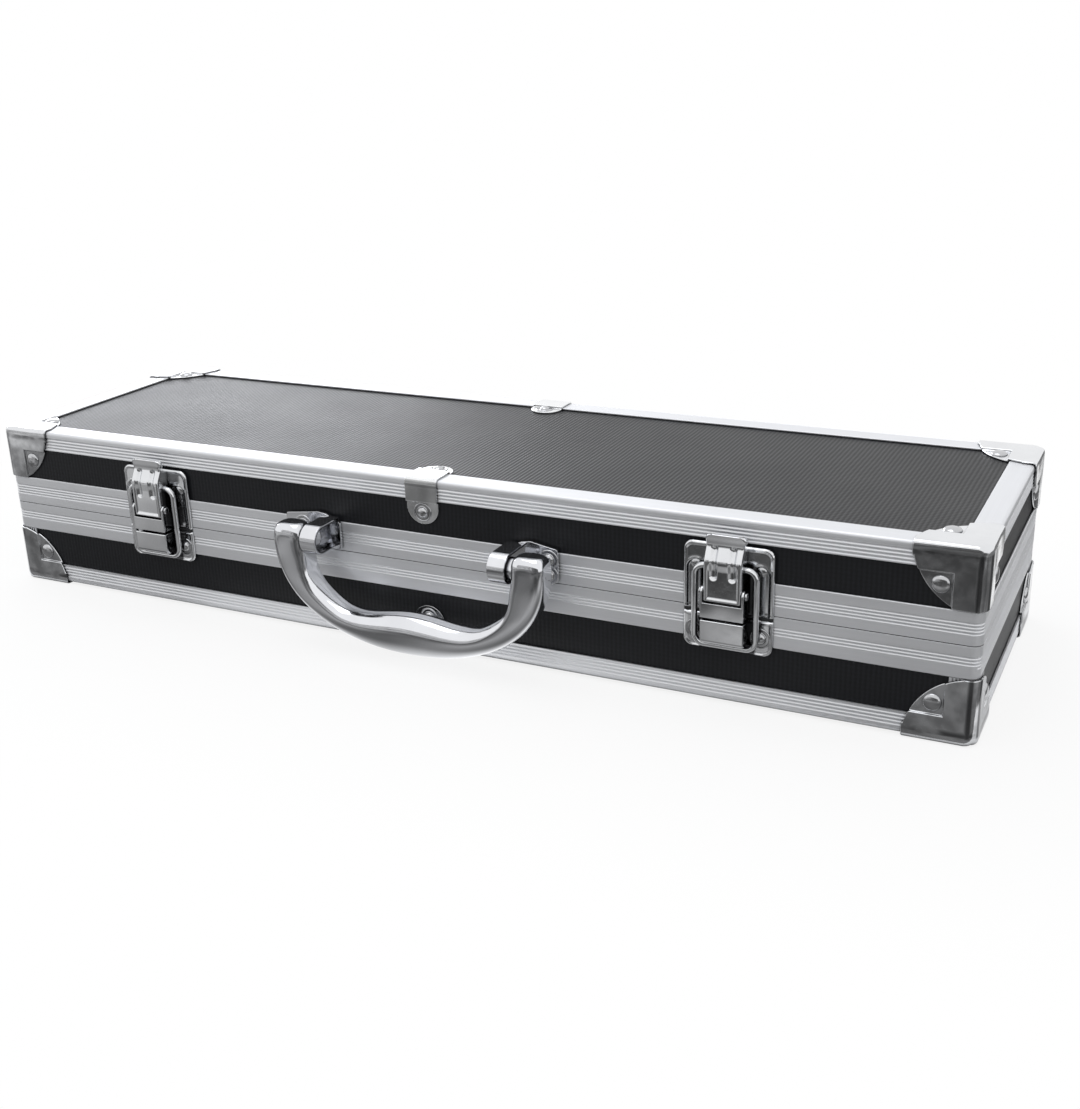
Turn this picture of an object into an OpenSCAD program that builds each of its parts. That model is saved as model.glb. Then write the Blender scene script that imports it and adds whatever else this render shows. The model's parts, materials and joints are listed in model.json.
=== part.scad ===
// Latched tool case: black board panels held in ribbed aluminium strip, with pressed steel
// corner caps, edge clips, two draw latches, a swinging carrying handle and two stop hinges.
// X runs along the length, Y from the handle side to the hinge side, Z up from the table.
// The origin is the middle of the footprint, handle and hinges included.

/* [Case] */
// Length over the corner caps
case_l = 460; // [400:1:560]
// Depth over the corner caps, front to back
case_d = 134; // [120:1:180]
// Height of the base half, from the table to the parting line
base_h = 40; // [40:0.5:60]
// Height of the lid half, from the parting line to the cap tops
lid_h = 38; // [37.5:0.5:60]
// Gap between the two rims when the case is shut
parting_gap = 0.3; // [0.2:0.1:0.6]

/* [Panels] */
// Thickness of the faced board
panel_t = 4; // [3:0.5:5]

/* [Edge trims] */
// Wall of the aluminium trims and rims
trim_t = 1; // [0.8:0.1:1.2]
// Outside radius of the aluminium at the case's edges
trim_r = 4; // [3:0.5:5]
// Flange of an edge trim down an upright wall
trim_side = 9; // [8:0.1:9.4]
// Flange of an edge trim over the top or the bottom
trim_face = 10.3; // [8:0.1:10.5]
// Flange of an upright corner post
post_w = 10.5; // [8:0.1:11]
// Width of a rolled groove
groove_w = 0.6; // [0.4:0.1:0.8]
// Depth of a rolled groove
groove_d = 0.3; // [0.2:0.05:0.4]
// Distance from one groove to the next
groove_pitch = 1.3; // [1.2:0.1:1.6]
// Grooves on each ribbed band
groove_n = 4; // [2:1:4]

/* [Rims] */
// Height of a rim
rim_h = 13.1; // [12:0.1:13.2]
// Depth of the hollow web that closes a rim at the parting line
rim_web = 3.6; // [3.4:0.1:4.5]
// Wall of the rim's inner lip
rim_lip = 1; // [0.8:0.1:1.4]
// Height of the rim's inner lip
rim_lip_h = 8; // [6:0.5:10]
// Smooth band on a rim between the parting line and its first groove
rim_band = 4.4; // [4:0.1:4.8]
// Width of the lid's sealing tongue
tongue_w = 1.6; // [1.2:0.1:1.8]
// Height of the tongue below the lid rim
tongue_h = 2; // [1.5:0.1:2.2]
// Clearance round the tongue in its groove
tongue_fit = 0.4; // [0.3:0.1:0.6]
// Length of side rim at the hinge end without a tongue
tongue_back = 14; // [12:1:30]

/* [Corner caps] */
// Sheet thickness of a cap
cap_t = 1; // [0.8:0.1:1.2]
// Radius of the round lobes, which stop short at the rims
cap_reach = 27.4; // [27.3:0.1:29]
// Clearance between a cap and the rim, and between its pressed step and the trim under it
cap_fit = 0.1; // [0.1:0.05:0.2]
// How much tighter a cap's inside bends are than the trim's outside ones
cap_ease = 0.7; // [0.6:0.1:0.9]
// Distance of a cap rivet from the case's upright corner
cap_rivet_edge = 16.8; // [16:0.1:16.9]
// Distance of a wall rivet in a cap from the top or the bottom
cap_rivet_drop = 15.8; // [14.7:0.1:16.8]

/* [Edge clips] */
// Width of an edge clip
clip_w = 15; // [13:0.1:17]
// Offset of the clips from the middle of the case
clip_x = 2; // [-5:0.5:5]
// Sheet thickness of a clip
clip_t = 0.9; // [0.7:0.1:1]
// Length of each leg of a clip, from the trim's face
clip_reach = 19.6; // [19:0.1:21]
// Distance of a clip rivet from the trim's face
clip_rivet = 14.4; // [14.3:0.1:14.8]

/* [Rivets] */
// Radius of the domed heads in the corner caps
cap_head_r = 3.5; // [3:0.1:3.6]
// Radius of the heads in the clips, latches, brackets and hinges
small_head_r = 2.8; // [2.4:0.1:3]
// Height of a domed head
head_h = 1.5; // [1.2:0.1:1.7]
// Height of the low heads on the underside
low_head_h = 0.8; // [0.6:0.1:0.9]
// Radius of a shank
shank_r = 1.3; // [1:0.1:1.6]
// Radial clearance of a shank in its hole
shank_fit = 0.05; // [0.03:0.01:0.1]

/* [Latches] */
// Half of the distance between the two latches
latch_x = 136.9; // [110:0.1:150]
// Offset of both latches along the case
latch_shift = -1.8; // [-3:0.1:3]
// How far the latches' own parting sits below the case's
latch_drop = 1.5; // [0.5:0.1:1.5]
// Width of the latch plates
plate_w = 36; // [34:0.5:40]
// Sheet thickness of the latch plates
plate_t = 0.8; // [0.6:0.1:1]
// Height of the upper plate above the latch's parting
plate_top = 28.3; // [26:0.1:29]
// Reach of the keeper plate below the latch's parting
keeper_drop = 15.6; // [14:0.1:16]
// Corner radius of the latch plates
plate_r = 4; // [2:0.5:5]
// Gap between the two plates
plate_gap = 0.8; // [0.4:0.1:0.9]
// Distance of the plate rivets from the latch's middle
plate_rivet_x = 13; // [12.4:0.1:13.4]
// Height of the upper plate's rivets above the latch's parting
plate_rivet_w = 18.9; // [18.8:0.1:21]
// Drop of the keeper's rivets below the latch's parting
keeper_rivet_w = 8.1; // [7:0.1:9]
// Width of the lever bracket and of the keeper block
bracket_w = 17.1; // [16:0.1:18]
// Wall of the lever bracket and of the keeper block
bracket_t = 0.9; // [0.8:0.1:1]
// Reach of the bracket and keeper from the rim's face
bracket_v = 8.5; // [8.3:0.1:9]
// Height of the bracket's front web above the latch's parting
bracket_web = 6.4; // [6:0.1:6.5]
// Underside of the keeper block, below the latch's parting
keeper_under = 10.6; // [9:0.1:10.6]
// Distance of the lever pivot from the rim's face
pivot_v = 6.2; // [6:0.1:6.3]
// Height of the lever pivot above the latch's parting
pivot_w = 10.4; // [10.4:0.1:11]
// Radius of the lever pin
lever_pin_r = 1; // [0.8:0.1:1.2]
// Radial clearance of pins and wire in their holes
pin_fit = 0.06; // [0.04:0.01:0.1]
// Sheet thickness of the lever
lever_t = 1; // [0.8:0.1:1.2]
// Clearance at each side of the lever in its bracket
lever_fit = 0.15; // [0.1:0.05:0.3]
// Lower end of the lever's face above the latch's parting
lever_foot = 7.5; // [7.4:0.1:8]
// Top of the lever's flat face
lever_flat = 23.5; // [23:0.1:24]
// Height of the lever's waist
lever_waist = 28.6; // [28:0.1:29.5]
// How far the face falls back at the waist
lever_dip = 3; // [2:0.1:3.5]
// Height of the finger lip
lever_lip = 33.5; // [33:0.1:34.5]
// Radius of the bail wire
wire_r = 1.05; // [0.9:0.05:1.2]
// Width of the bail over its wires
bail_w = 26.8; // [25.5:0.1:28]
// Distance of the bail's top bar from the rim's face
bail_v = 4.2; // [4:0.1:4.3]
// Height of the bail's top bar above the latch's parting
bail_top = 20.3; // [20:0.1:20.5]
// Gap between the keeper and the bail's lower bar
bail_gap = 0.6; // [0.4:0.1:1]
// Bend radius of the wire, on its centre line
bail_r = 4; // [3:0.1:4.4]

/* [Handle] */
// Offset of the handle along the case
handle_x = 1.3; // [-5:0.1:5]
// Distance of the handle's pivot from the rim's face
handle_v = 14; // [13:0.1:16]
// Height of the handle's pivot above the parting line
handle_w = 9.6; // [9:0.1:10]
// Half of the handle's outside width
handle_half = 65.5; // [60:0.5:80]
// Drop of the handle's underside below its pivot
handle_drop = 45; // [42:0.5:45]
// Width of the arms
arm_w = 13; // [12:0.1:14]
// Thickness of the handle at its lower corners
corner_w = 10.6; // [10:0.1:12]
// Thickness of the grip in the middle
grip_w = 18; // [16:0.1:19]
// Depth of the arms, front to back
arm_d = 12.4; // [11:0.1:13]
// Depth of the grip in the middle, front to back
grip_d = 15; // [13:0.1:16]
// Height of the domed arm ends above the pivot
arm_top = 6.6; // [5.5:0.1:6.8]
// Radius of the handle's pins
handle_pin_r = 2.5; // [2:0.1:3]
// Inner end of the handle's pins, from the middle
pin_end = 38; // [37:0.5:40]
// Radius of the bracket's barrel
barrel_r = 6.4; // [5.5:0.1:6.5]
// Barrel end nearest the middle
barrel_in = 36.5; // [34:0.5:37]
// Barrel end nearest the arm
barrel_out = 47; // [45:0.5:47]
// Outer end of the bracket's plate
foot_out = 65; // [62:0.5:68]
// Thickness of the bracket's plate
foot_t = 1.6; // [1.2:0.1:2]

/* [Hinges] */
// Distance of each hinge from the middle of the case
hinge_x = 130; // [90:1:160]
// Length of a hinge
hinge_l = 40; // [36:1:60]
// Thickness of the leaves
leaf_t = 1.2; // [1:0.1:1.3]
// Height of a leaf on its rim
leaf_h = 12.2; // [11.5:0.1:12.6]
// Distance of the hinge axis from the rim's face
hinge_v = 2.7; // [2.7:0.1:3.2]
// Radius of the knuckles
knuckle_r = 2.5; // [2.2:0.1:2.5]
// Length of the lid's middle knuckle
knuckle_l = 15; // [12:0.5:18]
// Gap between neighbouring knuckles
knuckle_gap = 0.2; // [0.15:0.05:0.4]
// Radius of the hinge pins
hinge_pin_r = 1.2; // [1:0.1:1.4]
// Height of a leaf's rivets above the parting line
leaf_rivet_w = 8; // [7.5:0.1:8.5]
// Distance of a leaf's rivets from the hinge's middle
leaf_rivet_x = 14; // [12:0.5:15]
// Angle at which the stop lug halts the lid
lid_open = 100; // [92:1:110]
// Length of the stop lug from the hinge axis
lug_l = 6; // [5.5:0.1:7]
// Thickness of the stop lug
lug_t = 2; // [1.6:0.1:2.2]
// Width of the stop lug
lug_w = 11; // [8:0.5:11.5]
// Gap left at the stop
lug_fit = 0.15; // [0.1:0.05:0.3]

/* [Foam] */
// Height of the die-cut foam insert in the base
insert_h = 22; // [16:0.5:24]
// Foam left under the tool pockets
insert_floor = 4; // [3:0.5:6]
// Thickness of the foam pad in the lid
pad_h = 12; // [6:0.5:16]
// Side clearance of the foam
foam_fit = 0.3; // [0.2:0.1:0.6]
// Width of the tongs pocket
tongs_w = 32; // [28:0.5:34]
// Length of the tongs pocket
tongs_l = 396; // [340:1:400]
// Width of the turner's blade pocket
blade_w = 68; // [60:0.5:70]
// Length of the turner's blade pocket
blade_l = 104; // [90:1:110]
// Width of the turner's handle pocket
grip_pocket_w = 22; // [18:0.5:24]
// Width of the knife and fork pockets
slim_w = 15; // [12:0.5:16]
// Length of the knife and fork pockets
slim_l = 268; // [200:1:270]
// Foam left between neighbouring pockets
pocket_wall = 8; // [7:0.5:9]

/* [Hidden] */
$fn = 64;

front = -1;
back = 1;
left = -1;
right = 1;

black = "#1b1b1d";
aluminium = "#d4d6d9";
chrome = "#a9acb1";
foam = "#2c2d30";

// Half sizes to the faces of the trims and rims, and to the faces of the panels
face_x = case_l / 2 - cap_t;
face_y = case_d / 2 - cap_t;
panel_x = face_x - trim_t;
panel_y = face_y - trim_t;
// Half sizes of the space inside the panels
room_x = panel_x - panel_t;
room_y = panel_y - panel_t;
rim_d = trim_t + panel_t + rim_lip;
half_gap = parting_gap / 2;
mitre = 16;
over = 1;

// The footprint runs from the grip to the stop lugs, so the case sits behind its middle
lug_in = hinge_v - leaf_t - lug_fit;
lug_tip = lug_l * sin(lid_open) - lug_in * cos(lid_open);
case_y = (handle_v + grip_d / 2 - hinge_v - lug_tip) / 2;

lever_w = bracket_w - 2 * bracket_t - 2 * lever_fit;
ear_r = bracket_v - pivot_v;
bail_bottom = keeper_under + bail_gap + wire_r;
arm_x = handle_half - arm_w / 2;
foot_rivets = [3.8, 10.4];

// Each half is drawn with Z = 0 at the parting line and its outer face upwards.
module at_lid() {
    translate([0, case_y, base_h]) children();
}

module at_base() {
    translate([0, case_y, base_h]) mirror([0, 0, 1]) children();
}

module flip(axis, on) {
    if (on) mirror(axis) children();
    else children();
}

module along_x(len) {
    rotate([90, 0, 90]) linear_extrude(len, center = true) children();
}

module along_y(len) {
    rotate([90, 0, 0]) linear_extrude(len, center = true) children();
}

// Rectangle with true round corners
module round_rect(x, y, r) {
    square([2 * x, 2 * (y - r)], center = true);
    square([2 * (x - r), 2 * y], center = true);
    for (i = [-1, 1], j = [-1, 1]) translate([i * (x - r), j * (y - r)]) circle(r);
}

// Section of a half case: upright walls and round upper corners
module arch(half, top, r) {
    translate([-half, 0]) square([2 * half, top - r]);
    translate([r - half, 0]) square([2 * (half - r), top]);
    for (i = [-1, 1]) translate([i * (half - r), top - r]) circle(r);
}

// The solid form of a half case of height h, inset from the faces of its trims
module half_form(h, inset) {
    top = h - cap_t - inset;
    r = trim_r - inset;
    intersection() {
        linear_extrude(top) round_rect(face_x - inset, face_y - inset, r);
        along_x(case_l) arch(face_y - inset, top, r);
        along_y(case_d) arch(face_x - inset, top, r);
    }
}

// The mitred quarter of the plan that belongs to the front wall or to the left wall
module front_quarter(h) {
    x = face_x + over;
    y = face_y + over;
    m = mitre + over;
    linear_extrude(h) polygon([[-x, -y], [x, -y], [x - m, m - y], [m - x, m - y]]);
}

module left_quarter(h) {
    x = face_x + over;
    y = face_y + over;
    m = mitre + over;
    linear_extrude(h) polygon([[-x, -y], [m - x, m - y], [m - x, y - m], [-x, y]]);
}

module on_front(side) {
    flip([0, 1, 0], side == back) children();
}

module on_left(side) {
    flip([1, 0, 0], side == right) children();
}

// A groove rolled right round the case at height z
module groove_ring(z) {
    translate([0, 0, z]) linear_extrude(groove_w) difference() {
        square([case_l + 2 * over, case_d + 2 * over], center = true);
        round_rect(face_x - groove_d, face_y - groove_d, trim_r - groove_d);
    }
}

// Rivets: the head stands on Z = 0 and the shank goes down from it.
module rivet(r, h, len) {
    ball = (r * r + h * h) / (2 * h);
    rotate_extrude() intersection() {
        translate([0, h - ball]) circle(ball);
        square([r, h]);
    }
    translate([0, 0, -len]) cylinder(r = shank_r, h = len + h / 2);
}

module rivet_hole() {
    translate([0, 0, -panel_t - 4]) cylinder(r = shank_r + shank_fit, h = panel_t + 8);
}

// Corner frame: the three case faces are its planes, and X, Y and Z run into the case
module at_corner(x_side, y_side, h) {
    translate([x_side * case_l / 2, y_side * case_d / 2, h])
        flip([1, 0, 0], x_side == right)
            flip([0, 1, 0], y_side == back)
                mirror([0, 0, 1]) children();
}

// Places for the three rivets of a cap: on the face, on the long wall and on the short wall
module on_cap_face() {
    translate([cap_rivet_edge, cap_rivet_edge, trim_t]) rotate([180, 0, 0]) children();
}

module on_cap_walls() {
    translate([cap_rivet_edge, trim_t, cap_rivet_drop]) rotate([90, 0, 0]) children();
    translate([trim_t, cap_rivet_edge, cap_rivet_drop]) rotate([0, -90, 0]) children();
}

module each_corner(h) {
    for (i = [left, right], j = [front, back]) at_corner(i, j, h) children();
}

// Places for the two rivets of each clip
module on_clip_face(h) {
    for (j = [front, back])
        translate([clip_x, j * (face_y - clip_rivet), h - cap_t - trim_t + clip_t]) children();
}

module on_clip_wall(h) {
    for (j = [front, back])
        translate([clip_x, j * (panel_y + clip_t), h - cap_t - clip_rivet])
            rotate([-j * 90, 0, 0]) children();
}

// A place on the front or back wall, a given distance proud of the rim's face
module on_wall(side, x, w, proud) {
    translate([x, side * (face_y + proud), w]) rotate([-side * 90, 0, 0]) children();
}

module on_latch_plates() {
    for (s = [left, right], e = [-1, 1])
        on_wall(front, s * latch_x + latch_shift + e * plate_rivet_x,
            plate_rivet_w - latch_drop, plate_t - trim_t) children();
}

module on_keepers() {
    for (s = [left, right], e = [-1, 1])
        on_wall(front, s * latch_x + latch_shift + e * plate_rivet_x,
            keeper_rivet_w + latch_drop, plate_t) children();
}

module on_handle_feet() {
    for (s = [left, right], w = foot_rivets)
        on_wall(front, handle_x + s * arm_x, w, foot_t) children();
}

module on_hinge_leaves() {
    for (s = [left, right], e = [-1, 1])
        on_wall(back, s * hinge_x + e * leaf_rivet_x, leaf_rivet_w, leaf_t) children();
}

module common_holes(h) {
    each_corner(h) {
        on_cap_face() rivet_hole();
        on_cap_walls() rivet_hole();
    }
    on_clip_face(h) rivet_hole();
    on_clip_wall(h) rivet_hole();
    on_hinge_leaves() rivet_hole();
}

module lid_holes() {
    common_holes(lid_h);
    on_latch_plates() rivet_hole();
    on_handle_feet() rivet_hole();
}

module base_holes() {
    common_holes(base_h);
    on_keepers() rivet_hole();
}

module wall_rivets(h) {
    each_corner(h) on_cap_walls() rivet(cap_head_r, head_h, cap_t + panel_t);
    on_clip_wall(h) rivet(small_head_r, head_h, clip_t + panel_t);
    on_hinge_leaves() rivet(small_head_r, head_h, leaf_t + trim_t + panel_t);
}

module lid_rivets() {
    color(chrome) at_lid() {
        wall_rivets(lid_h);
        each_corner(lid_h) on_cap_face() rivet(cap_head_r, head_h, cap_t + panel_t);
        on_clip_face(lid_h) rivet(small_head_r, head_h, clip_t + panel_t);
        on_latch_plates() rivet(small_head_r, head_h, plate_t + panel_t);
        on_handle_feet() rivet(small_head_r, head_h, foot_t + trim_t + panel_t);
    }
}

// The rivets under the base have low heads that stay above the table
module base_rivets() {
    color(chrome) at_base() {
        wall_rivets(base_h);
        each_corner(base_h) on_cap_face() rivet(cap_head_r, low_head_h, cap_t + panel_t);
        on_clip_face(base_h) rivet(small_head_r, low_head_h, clip_t + panel_t);
        on_keepers() rivet(small_head_r, head_h, plate_t + trim_t + panel_t);
    }
}

// Panels: one across the face, two long walls between the trims, two short walls between those.
module face_panel(h) {
    z = h - cap_t - trim_t - panel_t;
    intersection() {
        half_form(h, trim_t);
        translate([-face_x, -face_y, z]) cube([2 * face_x, 2 * face_y, panel_t + over]);
    }
}

module long_panel(h, side) {
    z = h - cap_t - trim_t - panel_t;
    on_front(side) intersection() {
        half_form(h, trim_t);
        translate([-face_x, -face_y, rim_web]) cube([2 * face_x, trim_t + panel_t, z - rim_web]);
    }
}

module short_panel(h, side) {
    z = h - cap_t - trim_t - panel_t;
    on_left(side) translate([-panel_x, -room_y, rim_web]) cube([panel_t, 2 * room_y, z - rim_web]);
}

module lid_panel() {
    color(black) at_lid() difference() {
        children();
        lid_holes();
    }
}

module base_panel() {
    color(black) at_base() difference() {
        children();
        base_holes();
    }
}

// Edge trim: a ribbed angle strip wrapped over the face's edge, mitred at the corners
module trim_ring(h) {
    top = h - cap_t;
    difference() {
        half_form(h, 0);
        half_form(h, trim_t);
        translate([-face_x - over, -face_y - over, -over])
            cube([2 * (face_x + over), 2 * (face_y + over), top - trim_side + over]);
        translate([trim_face - face_x, trim_face - face_y, 0])
            cube([2 * (face_x - trim_face), 2 * (face_y - trim_face), h]);
        for (i = [0:groove_n - 1]) groove_ring(top - trim_side + 0.7 + i * groove_pitch);
    }
}

module long_trim(h, side) {
    color(aluminium) on_front(side) intersection() {
        trim_ring(h);
        front_quarter(h);
    }
}

module short_trim(h, side) {
    color(aluminium) on_left(side) intersection() {
        trim_ring(h);
        left_quarter(h);
    }
}

// Upright posts that close the corners between the rims and the edge trims
module corner_posts(h) {
    top = h - cap_t - trim_side;
    color(aluminium) translate([0, 0, rim_h]) difference() {
        linear_extrude(top - rim_h) difference() {
            round_rect(face_x, face_y, trim_r);
            round_rect(panel_x, panel_y, trim_r - trim_t);
            square([2 * (face_x - post_w), case_d], center = true);
            square([case_l, 2 * (face_y - post_w)], center = true);
        }
        for (i = [-1, 1], j = [-1, 1], n = [0:groove_n - 2]) {
            run = post_w - 0.7 - n * groove_pitch - groove_w;
            x = face_x - run;
            y = face_y - run;
            translate([i * x - groove_w / 2, j * face_y - groove_d, -over])
                cube([groove_w, 2 * groove_d, h]);
            translate([i * face_x - groove_d, j * y - groove_w / 2, -over])
                cube([2 * groove_d, groove_w, h]);
        }
    }
}

// Rim: a channel that takes the panels' edges, with ribs outside and a lip inside
module rim_ring() {
    difference() {
        translate([0, 0, half_gap]) linear_extrude(rim_h - half_gap)
            round_rect(face_x, face_y, trim_r);
        translate([rim_d - face_x, rim_d - face_y, -over])
            cube([2 * (face_x - rim_d), 2 * (face_y - rim_d), rim_h + 2 * over]);
        translate([-room_x, -room_y, rim_lip_h]) cube([2 * room_x, 2 * room_y, rim_h]);
        translate([0, 0, rim_web]) linear_extrude(rim_h) difference() {
            round_rect(panel_x, panel_y, trim_r - trim_t);
            square([2 * room_x, 2 * room_y], center = true);
        }
        for (i = [0:groove_n - 1]) groove_ring(rim_band + i * groove_pitch);
    }
}

// Plan of the sealing tongue, or of its groove when grown by a clearance: front and sides only
module tongue_plan(grow) {
    x = face_x - rim_d / 2;
    y = face_y - rim_d / 2;
    half_w = tongue_w / 2 + grow;
    difference() {
        square([2 * (x + half_w), 2 * (y + half_w)], center = true);
        square([2 * (x - half_w), 2 * (y - half_w)], center = true);
        translate([-case_l / 2, face_y - tongue_back + grow]) square([case_l, tongue_back]);
    }
}

module lid_tongue() {
    translate([0, 0, -tongue_h]) linear_extrude(tongue_h + half_gap + over) tongue_plan(0);
}

module base_groove() {
    linear_extrude(tongue_h + tongue_fit) tongue_plan(tongue_fit);
}

module lid_rim_ring() {
    difference() {
        union() {
            rim_ring();
            lid_tongue();
        }
        lid_holes();
    }
}

module base_rim_ring() {
    difference() {
        rim_ring();
        base_groove();
        base_holes();
    }
}

module tall_front_quarter() {
    translate([0, 0, -tongue_h - over]) front_quarter(rim_h + tongue_h + 2 * over);
}

module tall_left_quarter() {
    translate([0, 0, -tongue_h - over]) left_quarter(rim_h + tongue_h + 2 * over);
}

module lid_long_rim(side) {
    color(aluminium) at_lid() intersection() {
        lid_rim_ring();
        on_front(side) tall_front_quarter();
    }
}

module lid_short_rim(side) {
    color(aluminium) at_lid() intersection() {
        lid_rim_ring();
        on_left(side) tall_left_quarter();
    }
}

module base_long_rim(side) {
    color(aluminium) at_base() intersection() {
        base_rim_ring();
        on_front(side) tall_front_quarter();
    }
}

module base_short_rim(side) {
    color(aluminium) at_base() intersection() {
        base_rim_ring();
        on_left(side) tall_left_quarter();
    }
}

// A block that fills the corner from the given inset, with its edges and point rounded
module corner_block(inset, r, size) {
    c = inset + r;
    translate([c, c, inset]) cube(size);
    translate([c, inset, c]) cube(size);
    translate([inset, c, c]) cube(size);
    translate([c, c, c]) {
        sphere(r);
        cylinder(r = r, h = size);
        rotate([0, 90, 0]) cylinder(r = r, h = size);
        rotate([-90, 0, 0]) cylinder(r = r, h = size);
    }
}

// Corner cap: three round lobes, raised over the trims and pressed down onto the panels.
// On a half case of height h its upright lobes end at the rim.
module corner_cap(h) {
    size = cap_reach + over;
    deep = cap_t + trim_t;
    lobe = cap_t + trim_r + over;
    face_edge = cap_t + trim_face + cap_fit;
    post_edge = cap_t + post_w + cap_fit;
    side_edge = cap_t + trim_side + cap_fit;
    difference() {
        intersection() {
            corner_block(0, trim_r + cap_t, size);
            union() {
                cylinder(r = cap_reach, h = lobe);
                rotate([0, 90, 0]) cylinder(r = cap_reach, h = lobe);
                rotate([-90, 0, 0]) cylinder(r = cap_reach, h = lobe);
            }
        }
        translate([-over, -over, h - rim_h - cap_fit]) cube(size + 2 * over);
        // Pockets pressed down inside the trims
        translate([face_edge + cap_t, face_edge + cap_t, -over]) cube([size, size, over + trim_t]);
        translate([post_edge + cap_t, -over, side_edge + cap_t]) cube([size, over + trim_t, size]);
        translate([-over, post_edge + cap_t, side_edge + cap_t]) cube([over + trim_t, size, size]);
        // Room for the panels and for the trims over them
        corner_block(deep, trim_r - trim_t, size);
        difference() {
            corner_block(cap_t, trim_r - cap_ease, size);
            translate([face_edge, face_edge, 0]) cube([size, size, deep]);
            translate([post_edge, 0, side_edge]) cube([size, deep, size]);
            translate([0, post_edge, side_edge]) cube([deep, size, size]);
        }
        on_cap_face() rivet_hole();
        on_cap_walls() rivet_hole();
    }
}

module lid_cap(x_side, y_side) {
    color(chrome) at_lid() at_corner(x_side, y_side, lid_h) corner_cap(lid_h);
}

module base_cap(x_side, y_side) {
    color(chrome) at_base() at_corner(x_side, y_side, base_h) corner_cap(base_h);
}

// Edge clip: a strap over the trim in the middle of a long edge, with a round end on each leg.
// In its own frame Y runs in from the trim's wall face and Z down from its top face.
module clip_leg(step) {
    translate([-clip_t, trim_r]) square([clip_t, step + clip_t - trim_r]);
    translate([-clip_t, step]) square([clip_t + trim_t, clip_t]);
    translate([trim_t - clip_t, step]) square([clip_t, clip_reach - step]);
}

module clip_section() {
    clip_leg(trim_side + cap_fit);
    mirror([1, -1]) clip_leg(trim_face + cap_fit);
    intersection() {
        translate([trim_r, trim_r]) difference() {
            circle(trim_r + clip_t);
            circle(trim_r);
        }
        translate([-clip_t, -clip_t]) square(trim_r + clip_t);
    }
}

module leg_plan() {
    r = clip_w / 2;
    translate([-r, -2]) square([clip_w, clip_reach - r + 2]);
    translate([0, clip_reach - r]) circle(r);
}

module edge_clip(h, side) {
    on_front(side) difference() {
        translate([clip_x, -face_y, h - cap_t]) mirror([0, 0, 1]) intersection() {
            along_x(clip_w) clip_section();
            union() {
                translate([0, 0, -2]) linear_extrude(2 + trim_r) leg_plan();
                translate([0, trim_r, 0]) rotate([90, 0, 0]) linear_extrude(2 + trim_r) leg_plan();
            }
        }
        on_clip_face(h) rivet_hole();
        on_clip_wall(h) rivet_hole();
    }
}

module clips(h) {
    color(chrome) for (j = [front, back]) edge_clip(h, j);
}

// Latch frame: X across, Y out from the rim's face, Z up from the latch's own parting
module at_latch(side) {
    at_lid() translate([side * latch_x + latch_shift, -face_y, -latch_drop])
        mirror([0, 1, 0]) children();
}

// A sheet drawn in the latch's X-Z plane, standing between two distances from the rim
module upright_sheet(from, thick) {
    translate([0, from + thick, 0]) rotate([90, 0, 0]) linear_extrude(thick) children();
}

// A side wall drawn in the latch's Y-Z plane, at each side of the middle
module side_walls(outer, thick) {
    for (s = [-1, 1]) translate([s * (outer - thick / 2), 0, 0])
        along_x(thick) children();
}

module plate_outline(w, low, high, r) {
    translate([-w / 2, low]) square([w, high - low - r]);
    translate([r - w / 2, low]) square([w - 2 * r, high - low]);
    for (s = [-1, 1]) translate([s * (w / 2 - r), high - r]) circle(r);
}

// Upper plate: cups pressed down to the panel for its rivets, and the lever's U bracket
module latch_plate(side) {
    low = plate_gap / 2;
    cup_r = small_head_r + 0.4;
    color(chrome) at_latch(side) difference() {
        union() {
            upright_sheet(0, plate_t) plate_outline(plate_w, low, plate_top, plate_r);
            for (e = [-1, 1]) translate([e * plate_rivet_x, -trim_t, plate_rivet_w])
                rotate([-90, 0, 0]) cylinder(r = cup_r + plate_t, h = trim_t + plate_t);
            upright_sheet(bracket_v - bracket_t, bracket_t)
                translate([-bracket_w / 2, low]) square([bracket_w, bracket_web - low]);
            side_walls(bracket_w / 2, bracket_t) {
                translate([0, low]) square([bracket_v, bracket_web - low]);
                translate([pivot_v - ear_r, low]) square([2 * ear_r, pivot_w - low]);
                translate([0, low]) square([pivot_v, pivot_w - low]);
                translate([pivot_v, pivot_w]) circle(ear_r);
            }
        }
        for (e = [-1, 1]) translate([e * plate_rivet_x, plate_t - trim_t, plate_rivet_w])
            rotate([-90, 0, 0]) cylinder(r = cup_r, h = trim_t + over);
        for (e = [-1, 1]) translate([e * plate_rivet_x, 0, plate_rivet_w])
            rotate([90, 0, 0]) rivet_hole();
        translate([0, pivot_v, pivot_w]) rotate([0, 90, 0])
            cylinder(r = lever_pin_r + pin_fit, h = bracket_w + 2, center = true);
    }
}

// Keeper: the lower plate and the block that the bail hooks under
module keeper_plate(side) {
    low = plate_gap / 2;
    bend = 2;
    color(chrome) at_latch(side) difference() {
        union() {
            upright_sheet(0, plate_t)
                mirror([0, 1]) plate_outline(plate_w, low, keeper_drop, plate_r);
            along_x(bracket_w) mirror([0, 1]) difference() {
                union() {
                    translate([0, low]) square([bracket_v, keeper_under - low - bend]);
                    translate([0, low]) square([bracket_v - bend, keeper_under - low]);
                    translate([bracket_v - bend, keeper_under - bend]) circle(bend);
                }
                translate([plate_t, low - over])
                    square([bracket_v - plate_t - bracket_t, keeper_under - low + over - bracket_t - bend]);
            }
        }
        for (e = [-1, 1]) translate([e * plate_rivet_x, 0, -keeper_rivet_w])
            rotate([90, 0, 0]) rivet_hole();
    }
}

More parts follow.
